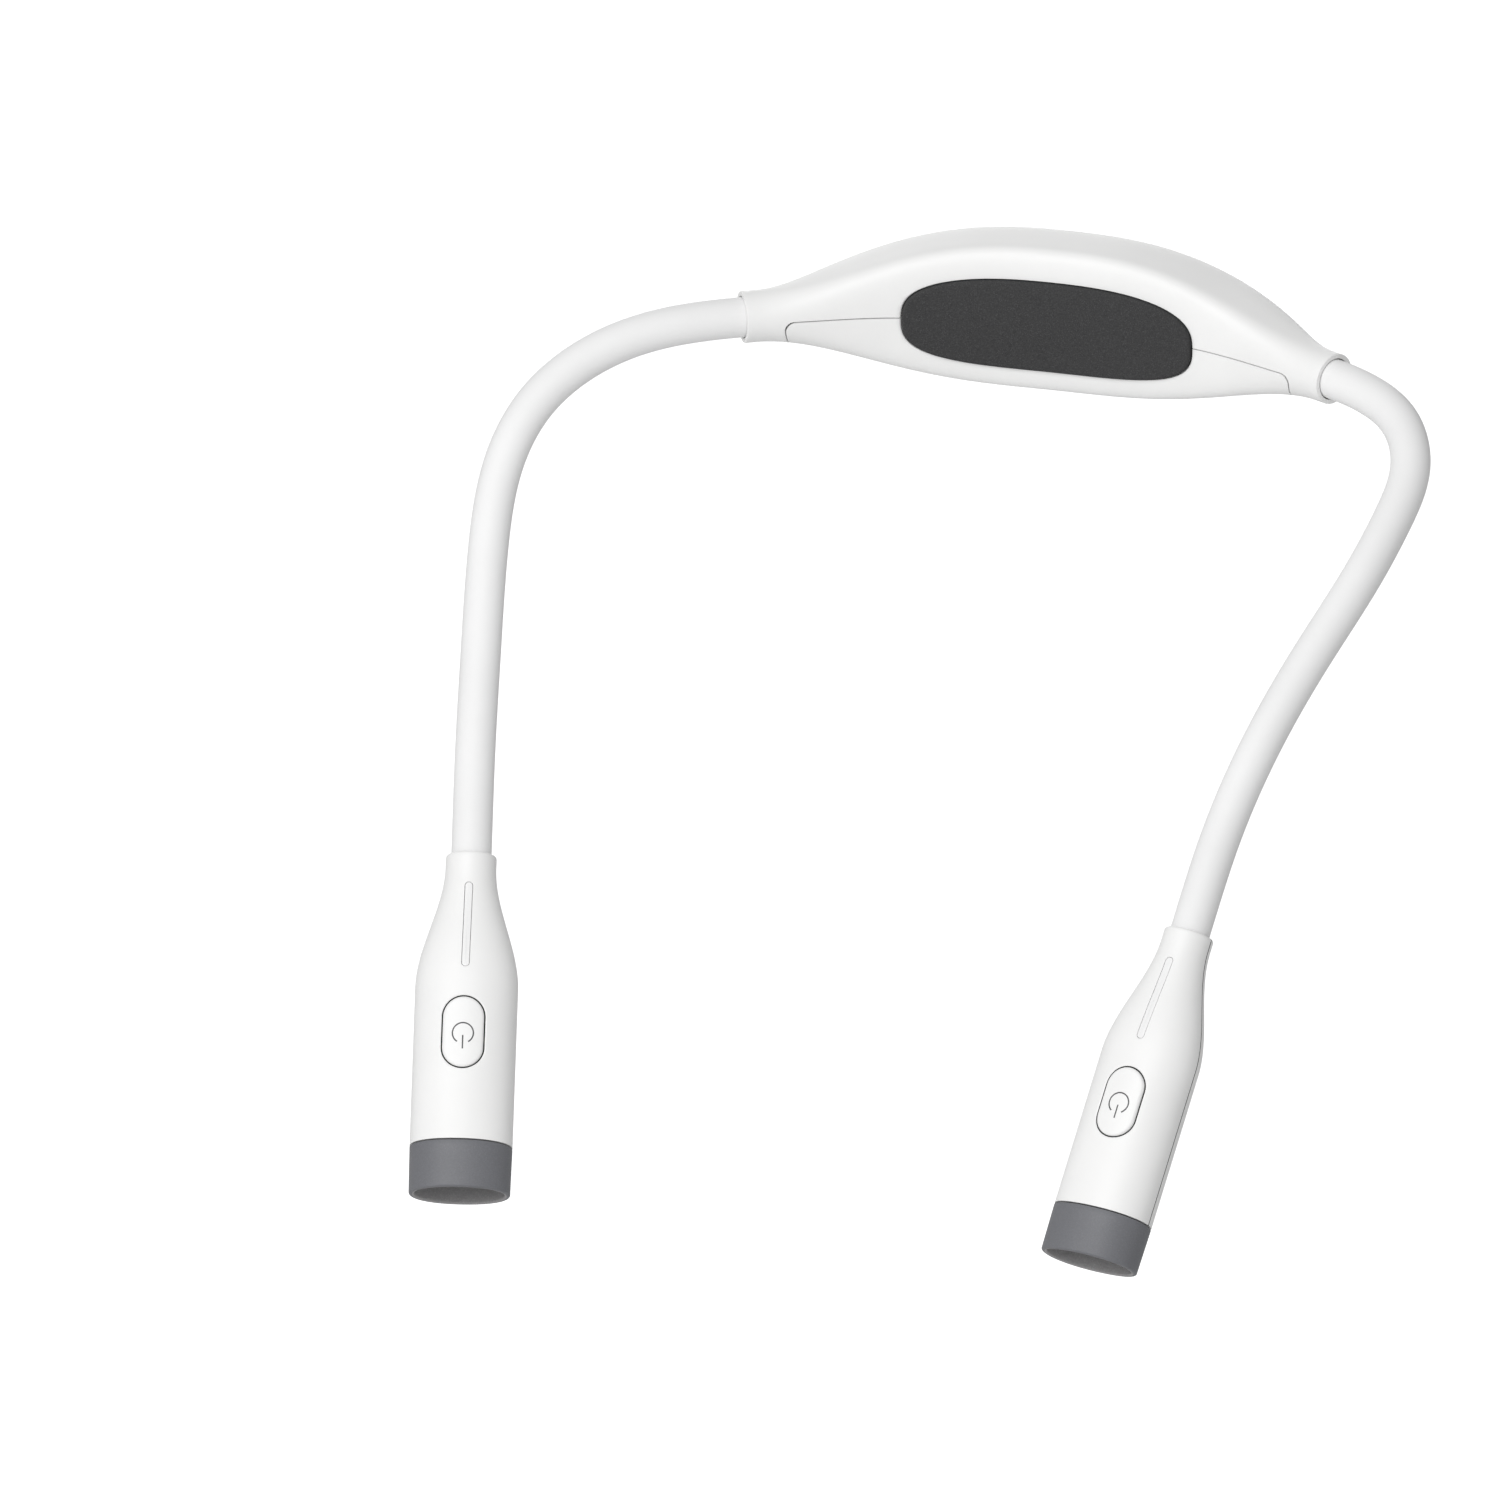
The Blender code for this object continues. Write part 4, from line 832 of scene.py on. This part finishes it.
def power_mark():
    """A broken ring with a stem through its gap, on the mouth's side."""
    middle = BUTTON_ALONG + MARK_SHIFT
    ring = []
    for i in range(MARK_RING_STEPS + 1):
        turn = math.pi / 2 + between(MARK_GAP, math.tau - MARK_GAP, i / MARK_RING_STEPS)
        ring.append((MARK_RADIUS * math.cos(turn), middle + MARK_RADIUS * math.sin(turn)))
    stem = []
    for i in range(MARK_STEM_STEPS + 1):
        stem.append((0, middle + between(MARK_STEM_START, MARK_STEM_END, i / MARK_STEM_STEPS)))
    shape = bmesh.new()
    add_rings(shape, mark_rings(ring))
    add_rings(shape, mark_rings(stem))
    return finish_shape("power_mark", shape)


def hood_ring(inset, along):
    return [Vector((x, y, along)) for x, y in head_outline(along, inset, HOOD_RING_POINTS)]


def lamp_hood():
    """The hood's wall as one loop: spigot, outside, rounded rim, inside and the lens's lip."""
    mouth = HEAD_LENGTH
    step = SHELL_LENGTH + CLEARANCE
    spigot_end = SHELL_LENGTH - SPIGOT_LENGTH
    spigot = HEAD_WALL + CLEARANCE
    bore = spigot + SPIGOT_WALL
    lip = bore + LENS_LIP_WIDTH
    lip_top = mouth - LENS_LIP_SETBACK
    lip_low = lip_top - LENS_LIP_THICKNESS
    edge = quarter_round(HOOD_EDGE)
    small = HOOD_STEP_EDGE
    profile = [
        (spigot, spigot_end),
        (spigot, step),
        (small, step),
        (small * EDGE_MIDDLE, step + small * EDGE_MIDDLE),
        (0, step + small),
    ]
    for i in range(1, HOOD_OUTER_STEPS):
        share = i / HOOD_OUTER_STEPS
        profile.append((HOOD_TAPER * share, between(step + small, mouth - HOOD_EDGE, share)))
    profile += [(HOOD_TAPER + inset, mouth - down) for inset, down in edge]
    inner = HOOD_TAPER + HOOD_WALL
    profile += [(inner - inset, mouth - down) for inset, down in reversed(edge)]
    for i in range(1, HOOD_INNER_STEPS):
        share = i / HOOD_INNER_STEPS
        along = between(mouth - HOOD_EDGE, lip_top, share)
        profile.append((between(inner, HOOD_WALL, share), along))
    profile += [(HOOD_WALL, lip_top), (lip, lip_top), (lip, lip_low), (bore, lip_low)]
    profile.append((bore, spigot_end))
    return skin("lamp_hood", [hood_ring(inset, along) for inset, along in profile], closed=True)


def hood_lens():
    """The lens: a plate with a softly crowned face towards the mouth."""
    inset = HEAD_WALL + CLEARANCE + SPIGOT_WALL + CLEARANCE
    top = HEAD_LENGTH - LENS_LIP_SETBACK - LENS_LIP_THICKNESS - CLEARANCE
    clear = LENS_LIP_WIDTH + 2 * CLEARANCE
    rings = [hood_ring(inset, top - LENS_THICKNESS), hood_ring(inset, top)]
    crown_foot = hood_ring(inset + clear, top)
    for i in range(LENS_RINGS):
        share = i / LENS_RINGS
        rise = Vector((0, 0, LENS_CROWN * (1 - (1 - share) ** 2)))
        rings.append([Vector((x * (1 - share), y * (1 - share), z)) + rise for x, y, z in crown_foot])
    return skin("lens_plate", rings)


def head_meshes():
    """Each head piece's mesh in the head's own places, for both heads."""
    front = head_half("front_housing", 1, LAP_SHARE, LAP_RISE - SEAM_GAP / 2)
    back = head_half("back_housing", -1, LAP_SHARE + LAP_SLACK_SHARE, LAP_RISE)
    holes = [
        eased_cutter("button_hole", BUTTON_PILL, CLEARANCE, HOLE_EDGE, HOLE_EDGE_DEPTH),
        eased_cutter("bar_slot", BAR_PILL, BAR_GAP, SLOT_EDGE, SLOT_EDGE),
    ]
    cut(front, holes)
    drop(holes)
    button = pill_cap(
        "button_cap", BUTTON_PILL, BUTTON_SIDE, BUTTON_EDGE, BUTTON_PROUD, BUTTON_FACE_STEPS
    )
    bar = pill_cap("light_bar", BAR_PILL, BAR_SIDE, BAR_EDGE, -BAR_SINK, BAR_FACE_STEPS)
    made = [front, back, button, bar, power_mark(), lamp_hood(), hood_lens()]
    meshes = {piece.name: piece.data for piece in made}
    drop(made)
    for mesh in meshes.values():
        smooth(mesh)
    # Painted shade in the button's gap and in the side seams, painted light on the mouth's inner wall
    mark_painted_shading(meshes["front_housing"], in_painted_button_gap_shade, in_painted_seam_shade)
    mark_painted_shading(meshes["back_housing"], in_painted_seam_shade)
    mark_painted_shading(meshes["button_cap"], in_painted_button_gap_shade)
    mark_painted_shading(meshes["lamp_hood"], in_painted_mouth_light)
    return meshes


# Piece, the body it rides on, its finish, and the model's node that it stands for
HEAD_PIECES = (
    ("front_housing", "head", "white_shell", "front_shell"),
    ("back_housing", "head", "white_shell", "back_shell"),
    ("button_cap", "button", "white_button", "power_button"),
    ("light_bar", "head", "indicator_white", "indicator_bar"),
    ("power_mark", "button", None, None),
    ("lamp_hood", "head", "grey_hood", "hood"),
    ("lens_plate", "head", "clear_lens", "lens"),
)


def head_matrix(line):
    """Z along the lamp's axis, Y out of the button's side, which faces up and forward."""
    along = line.aim
    up = Vector((0, 0, 1))
    face = (up - along * along.z).normalized()
    across = face.cross(along)
    rotation = Matrix((across, face, along)).transposed().to_4x4()
    return Matrix.Translation(line.end) @ rotation


def head_pieces(word, line, meshes, materials):
    for name, body, slot, node in HEAD_PIECES:
        piece = add_object(f"{word}_{name}", meshes[name])
        piece.matrix_world = head_matrix(line)
        dress(piece, f"{word}_{body}", node and f"{word}_{node}")
        # The second slot holds painted shading: a paler grey as painted light in the hood's mouth, the
        # black finish as painted shade in the gaps and seams
        painted_shading = materials["hood_inside_painted_light" if name == "lamp_hood" else "black_switch"]
        paint(piece, materials[slot or name], painted_shading)


# Shader groups


def new_group(name, inputs, outputs):
    """An empty shader group with its named sockets. Sockets are (kind, name, value)."""
    group = bpy.data.node_groups.new(name, "ShaderNodeTree")
    for kind, label, value in inputs:
        socket = group.interface.new_socket(label, in_out="INPUT", socket_type=kind)
        if value is not None:
            socket.default_value = value
    for kind, label in outputs:
        group.interface.new_socket(label, in_out="OUTPUT", socket_type=kind)
    source = group.nodes.new("NodeGroupInput")
    target = group.nodes.new("NodeGroupOutput")
    return group, source, target


def noise(nodes, links, vector, scale, detail=2.0, roughness=0.5):
    """A noise texture whose scale is a number or another node's output."""
    texture = nodes.new("ShaderNodeTexNoise")
    texture.inputs["Detail"].default_value = detail
    texture.inputs["Roughness"].default_value = roughness
    links.new(vector, texture.inputs["Vector"])
    if isinstance(scale, float):
        texture.inputs["Scale"].default_value = scale
    else:
        links.new(scale, texture.inputs["Scale"])
    return texture


def spread(nodes, links, value, low, high, new_low=0.0, new_high=1.0):
    """Maps a value's range to another."""
    remap = nodes.new("ShaderNodeMapRange")
    links.new(value, remap.inputs["Value"])
    for label, number in (
        ("From Min", low), ("From Max", high), ("To Min", new_low), ("To Max", new_high)
    ):
        remap.inputs[label].default_value = number
    return remap.outputs["Result"]


def mixed(nodes, links, share, first, second):
    """Two colours mixed by a share."""
    mix = nodes.new("ShaderNodeMix")
    mix.data_type = "RGBA"
    links.new(share, mix.inputs[0])
    for index, colour in ((6, first), (7, second)):
        if isinstance(colour, tuple):
            mix.inputs[index].default_value = (*colour, 1)
        else:
            links.new(colour, mix.inputs[index])
    return mix.outputs[2]


def moulded_grain():
    """The fine eroded texture of a moulded face: a tone that drifts, fine grain, and its bump."""
    group, source, target = new_group(
        "moulded_grain",
        [
            ("NodeSocketFloat", "Grain Scale", 2600.0),
            ("NodeSocketFloat", "Grain Height", 0.00001),
        ],
        [("NodeSocketFloat", "Tone"), ("NodeSocketFloat", "Grain"), ("NodeSocketVector", "Normal")],
    )
    nodes, links = group.nodes, group.links
    place = nodes.new("ShaderNodeTexCoord").outputs["Object"]
    drift = noise(nodes, links, place, 38.0, 3.0)
    fine = noise(nodes, links, place, source.outputs["Grain Scale"], 2.0, 0.6)
    bump = nodes.new("ShaderNodeBump")
    bump.inputs["Strength"].default_value = 1.0
    links.new(source.outputs["Grain Height"], bump.inputs["Distance"])
    links.new(fine.outputs[0], bump.inputs["Height"])
    links.new(spread(nodes, links, drift.outputs[0], 0.3, 0.7), target.inputs["Tone"])
    links.new(spread(nodes, links, fine.outputs[0], 0.3, 0.7), target.inputs["Grain"])
    links.new(bump.outputs["Normal"], target.inputs["Normal"])
    return group


def fine_specks():
    """Scattered specks, as in foam or in the dust that a matte face holds."""
    group, source, target = new_group(
        "fine_specks",
        [("NodeSocketFloat", "Speck Scale", 3000.0), ("NodeSocketFloat", "Amount", 0.3)],
        [("NodeSocketFloat", "Specks")],
    )
    nodes, links = group.nodes, group.links
    place = nodes.new("ShaderNodeTexCoord").outputs["Object"]
    cells = nodes.new("ShaderNodeTexVoronoi")
    cells.feature = "F1"
    links.new(place, cells.inputs["Vector"])
    links.new(source.outputs["Speck Scale"], cells.inputs["Scale"])
    chance = nodes.new("ShaderNodeSeparateColor")
    links.new(cells.outputs["Color"], chance.inputs[0])
    picked = nodes.new("ShaderNodeMath")
    picked.operation = "LESS_THAN"
    links.new(chance.outputs[0], picked.inputs[0])
    links.new(source.outputs["Amount"], picked.inputs[1])
    near = spread(nodes, links, cells.outputs["Distance"], 0.55, 0.15)
    both = nodes.new("ShaderNodeMath")
    both.operation = "MULTIPLY"
    links.new(picked.outputs[0], both.inputs[0])
    links.new(near, both.inputs[1])
    links.new(both.outputs[0], target.inputs["Specks"])
    return group


GROUPS = {"moulded_grain": moulded_grain(), "fine_specks": fine_specks()}


# Materials


def new_material(name, roughness=0.5, metallic=0.0, specular=0.5):
    material = bpy.data.materials.new(name)
    material.use_nodes = True
    shader = material.node_tree.nodes["Principled BSDF"]
    shader.inputs["Roughness"].default_value = roughness
    shader.inputs["Metallic"].default_value = metallic
    shader.inputs["Specular IOR Level"].default_value = specular
    return material, material.node_tree.nodes, material.node_tree.links, shader


def place_group(nodes, name, **values):
    """A shader group with its own values, named as its sockets are with spaces for underscores."""
    node = nodes.new("ShaderNodeGroup")
    node.node_tree = GROUPS[name]
    for label, value in values.items():
        node.inputs[label.replace("_", " ")].default_value = value
    return node


def grained(name, tones, rough, specular, grain, fleck=None, specks=None):
    """Moulded plastic, rubber or foam: two close tones and a fine texture.

    Tones are a dark and a light one, rough is a range, and grain is its scale and height.
    Where there are paler flecks, specks are their scale and amount.
    """
    material, nodes, links, shader = new_material(name, specular=specular)
    texture = place_group(nodes, "moulded_grain", Grain_Scale=grain[0], Grain_Height=grain[1])
    tone, wear = ("Grain", "Tone") if specks else ("Tone", "Grain")
    colour = mixed(nodes, links, texture.outputs[tone], *tones)
    if specks:
        flecks = place_group(nodes, "fine_specks", Speck_Scale=specks[0], Amount=specks[1])
        colour = mixed(nodes, links, flecks.outputs["Specks"], colour, fleck)
    links.new(colour, shader.inputs["Base Color"])
    roughness = spread(nodes, links, texture.outputs[wear], 0.0, 1.0, *rough)
    links.new(roughness, shader.inputs["Roughness"])
    links.new(texture.outputs["Normal"], shader.inputs["Normal"])
    return material


def brushed(name, tones, rough, stretch):
    """Drawn or brushed metal, with lines along one way."""
    material, nodes, links, shader = new_material(name, metallic=1.0)
    mapping = nodes.new("ShaderNodeMapping")
    mapping.inputs["Scale"].default_value = stretch
    links.new(nodes.new("ShaderNodeTexCoord").outputs["Object"], mapping.inputs["Vector"])
    lines = noise(nodes, links, mapping.outputs["Vector"], 900.0, 3.0)
    tone = spread(nodes, links, lines.outputs[0], 0.3, 0.7)
    links.new(mixed(nodes, links, tone, *tones), shader.inputs["Base Color"])
    links.new(spread(nodes, links, tone, 0.0, 1.0, *rough), shader.inputs["Roughness"])
    return material


def printed_mark():
    """Thin grey ink on the button."""
    material, nodes, links, shader = new_material("grey_ink", specular=0.3)
    place = nodes.new("ShaderNodeTexCoord").outputs["Object"]
    wear = noise(nodes, links, place, 4000.0, 2.0)
    tone = spread(nodes, links, wear.outputs[0], 0.35, 0.65)
    ink = mixed(nodes, links, tone, (0.07, 0.07, 0.073), (0.12, 0.12, 0.124))
    links.new(ink, shader.inputs["Base Color"])
    shader.inputs["Roughness"].default_value = 0.6
    return material


def frosted_lens():
    """Milky acrylic with a fine etched face."""
    material, nodes, links, shader = new_material("frosted_acrylic", roughness=0.35)
    grain = place_group(nodes, "moulded_grain", Grain_Scale=3500.0, Grain_Height=0.000006)
    tone = mixed(nodes, links, grain.outputs["Tone"], (0.74, 0.76, 0.77), (0.82, 0.84, 0.85))
    links.new(tone, shader.inputs["Base Color"])
    links.new(grain.outputs["Normal"], shader.inputs["Normal"])
    shader.inputs["Subsurface Weight"].default_value = 0.3
    shader.inputs["Subsurface Radius"].default_value = (0.002, 0.002, 0.002)
    shader.inputs["Subsurface Scale"].default_value = 1.0
    return material


def circuit_board():
    """Solder mask with pale pads scattered over it."""
    material, nodes, links, shader = new_material("green_solder_mask", roughness=0.4)
    pads = place_group(nodes, "fine_specks", Speck_Scale=520.0, Amount=0.22)
    grain = place_group(nodes, "moulded_grain", Grain_Scale=1500.0, Grain_Height=0.000008)
    mask = mixed(nodes, links, grain.outputs["Tone"], (0.02, 0.11, 0.05), (0.04, 0.16, 0.08))
    colour = mixed(nodes, links, pads.outputs["Specks"], mask, (0.62, 0.55, 0.32))
    links.new(colour, shader.inputs["Base Color"])
    links.new(grain.outputs["Normal"], shader.inputs["Normal"])
    return material


def make_materials():
    white = ((0.845, 0.845, 0.84), (0.875, 0.875, 0.87))
    return {
        "white_shell": grained(
            "white_abs", white, rough=(0.40, 0.50), specular=0.35, grain=(2600.0, 0.000010)
        ),
        "white_button": grained(
            "white_abs_cap", white, rough=(0.34, 0.44), specular=0.35, grain=(2600.0, 0.000008)
        ),
        "white_sleeve": grained(
            "white_silicone",
            ((0.82, 0.82, 0.82), (0.86, 0.86, 0.86)),
            rough=(0.55, 0.68),
            specular=0.25,
            grain=(2200.0, 0.000016),
        ),
        "charcoal_pad": grained(
            "charcoal_foam",
            ((0.033, 0.033, 0.034), (0.056, 0.056, 0.057)),
            fleck=(0.082, 0.082, 0.084),
            rough=(0.80, 0.95),
            specular=0.25,
            grain=(3200.0, 0.00006),
            specks=(4200.0, 0.18),
        ),
        "grey_hood": grained(
            "grey_satin_abs",
            ((0.138, 0.141, 0.153), (0.158, 0.161, 0.175)),
            fleck=(0.178, 0.181, 0.195),
            rough=(0.50, 0.60),
            specular=0.50,
            grain=(2800.0, 0.000012),
            specks=(3600.0, 0.10),
        ),
        # Painted light: a paler copy of the hood's grey for the mouth's inner wall, lifting it where it
        # would fall into shade
        "hood_inside_painted_light": grained(
            "grey_abs_painted_light",
            ((0.255, 0.250, 0.253), (0.330, 0.323, 0.327)),
            fleck=(0.380, 0.372, 0.376),
            rough=(0.50, 0.60),
            specular=0.50,
            grain=(2800.0, 0.000012),
            specks=(3000.0, 0.20),
        ),
        "clear_lens": frosted_lens(),
        "indicator_white": grained(
            "bar_acrylic",
            ((0.83, 0.83, 0.83), (0.86, 0.86, 0.86)),
            rough=(0.26, 0.34),
            specular=0.4,
            grain=(2600.0, 0.000004),
        ),
        "circuit_board": circuit_board(),
        "battery_foil": brushed(
            "foil_pouch", ((0.42, 0.44, 0.47), (0.52, 0.54, 0.57)), rough=(0.3, 0.45), stretch=(1, 1, 6)
        ),
        "steel": brushed(
            "drawn_steel", ((0.50, 0.51, 0.53), (0.62, 0.63, 0.65)), rough=(0.25, 0.4), stretch=(6, 1, 1)
        ),
        # Black nylon of the real switch, also laid in the gaps and seams of the heads as painted shade
        "black_switch": grained(
            "black_nylon_and_painted_shade",
            ((0.018, 0.018, 0.018), (0.028, 0.028, 0.028)),
            rough=(0.45, 0.6),
            specular=0.4,
            grain=(2600.0, 0.00001),
        ),
        "power_mark": printed_mark(),
    }


# The finish of the model's own nodes that stay in view, by the end of their names
NODE_FINISHES = {
    "core": "steel",
    "anchor": "steel",
    "screw": "steel",
    "clamp": "steel",
    "receptacle": "steel",
    "board": "circuit_board",
    "battery": "battery_foil",
    "switch": "black_switch",
}


def paint_nodes(materials):
    for name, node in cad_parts.items():
        finish = next((NODE_FINISHES[word] for word in NODE_FINISHES if word in name), "white_shell")
        paint(node, materials[finish])


# Studio


def view_axes():
    """Right, up and towards the viewer, as the photograph was taken."""
    back = direction(VIEW_AZIMUTH, VIEW_ELEVATION)
    right = Vector((math.cos(VIEW_AZIMUTH), math.sin(VIEW_AZIMUTH), 0))
    return right, back.cross(right), back


def add_camera():
    """A level projection, because the photograph has next to no perspective."""
    right, up, back = view_axes()
    across = (PHOTO_SIZE / 2 - ARCH_MIDDLE_PIXEL[0]) / PHOTO_SCALE
    rise = (ARCH_MIDDLE_PIXEL[1] - PHOTO_SIZE / 2) / PHOTO_SCALE
    camera = bpy.data.objects.new("photo_camera", bpy.data.cameras.new("photo_camera"))
    camera.data.type = "ORTHO"
    camera.data.ortho_scale = PHOTO_SIZE / PHOTO_SCALE
    camera.data.clip_end = 2 * FLOOR_SIZE
    camera.location = ARCH_MIDDLE + right * across + up * rise + back * CAMERA_DISTANCE
    camera.rotation_euler = Matrix((right, up, back)).transposed().to_euler()
    bpy.context.scene.collection.objects.link(camera)
    bpy.context.scene.camera = camera


def add_softbox(name, azimuth, elevation, power):
    """A square soft lamp that looks at the light's middle."""
    back = direction(azimuth, elevation)
    lamp = bpy.data.objects.new(name, bpy.data.lights.new(name, "AREA"))
    lamp.data.size = LAMP_SIZE
    lamp.data.energy = power
    low, high = cad_box
    lamp.location = (low + high) / 2 + back * LAMP_DISTANCE
    lamp.rotation_euler = back.to_track_quat("Z", "Y").to_euler()
    bpy.context.scene.collection.objects.link(lamp)


def seen_directly(nodes, links):
    """1 for rays from the camera, straight or through glass, and 0 for the light on things."""
    path = nodes.new("ShaderNodeLightPath")
    either = nodes.new("ShaderNodeMath")
    either.operation = "MAXIMUM"
    links.new(path.outputs["Is Camera Ray"], either.inputs[0])
    links.new(path.outputs["Is Transmission Ray"], either.inputs[1])
    return either.outputs[0]


def add_world():
    world = bpy.data.worlds.new("studio")
    bpy.context.scene.world = world
    world.use_nodes = True
    nodes, links = world.node_tree.nodes, world.node_tree.links
    backdrop = nodes["Background"]
    backdrop.inputs["Color"].default_value = (1, 1, 1, 1)
    level = spread(nodes, links, seen_directly(nodes, links), 0.0, 1.0, FILL_LEVEL, 1.0)
    links.new(level, backdrop.inputs["Strength"])


def add_floor():
    """A pale floor that reads as white, keeps the shadow, and isn't seen from below."""
    half = FLOOR_SIZE / 2
    corners = [(-half, -half), (half, -half), (half, half), (-half, half)]
    mesh = bpy.data.meshes.new("studio_floor")
    mesh.from_pydata([(x, y, FLOOR_HEIGHT) for x, y in corners], [], [(0, 1, 2, 3)])
    floor = add_object("studio_floor", mesh)
    material, nodes, links, shader = new_material("white_floor", roughness=0.9, specular=0.1)
    place = nodes.new("ShaderNodeTexCoord").outputs["Object"]
    cloud = noise(nodes, links, place, 3.0, 2.0)
    tone = mixed(nodes, links, cloud.outputs[0], (0.80, 0.80, 0.80), (0.83, 0.83, 0.83))
    links.new(tone, shader.inputs["Base Color"])
    shader.inputs["Emission Color"].default_value = (1, 1, 1, 1)
    glow = spread(nodes, links, seen_directly(nodes, links), 0.0, 1.0, 0.0, FLOOR_GLOW)
    links.new(glow, shader.inputs["Emission Strength"])
    clear = nodes.new("ShaderNodeBsdfTransparent")
    choose = nodes.new("ShaderNodeMixShader")
    links.new(nodes.new("ShaderNodeNewGeometry").outputs["Backfacing"], choose.inputs[0])
    links.new(shader.outputs[0], choose.inputs[1])
    links.new(clear.outputs[0], choose.inputs[2])
    links.new(choose.outputs[0], nodes["Material Output"].inputs["Surface"])
    paint(floor, material)


# The whole scene


def main():
    bpy.context.scene.view_settings.view_transform = "Standard"
    add_camera()
    materials = make_materials()
    paint_nodes(materials)
    for piece in unit_pieces():
        paint(piece, materials["white_shell"])
    pad = neck_pad()
    paint(pad, materials["charcoal_pad"])
    meshes = head_meshes()
    lines = {
        "left": ArmLine(-1, LEFT_ROUTE_SHARES, LEFT_AIM),
        "right": ArmLine(1, RIGHT_ROUTE_SHARES, RIGHT_AIM),
    }
    for word, line in lines.items():
        for piece in sleeve_pieces(word, line):
            paint(piece, materials["white_sleeve"])
        head_pieces(word, line, meshes, materials)
    add_world()
    add_softbox("front_softbox", KEY_AZIMUTH, KEY_ELEVATION, KEY_POWER)
    add_softbox("back_softbox", BACK_AZIMUTH, BACK_ELEVATION, BACK_POWER)
    add_floor()


main()
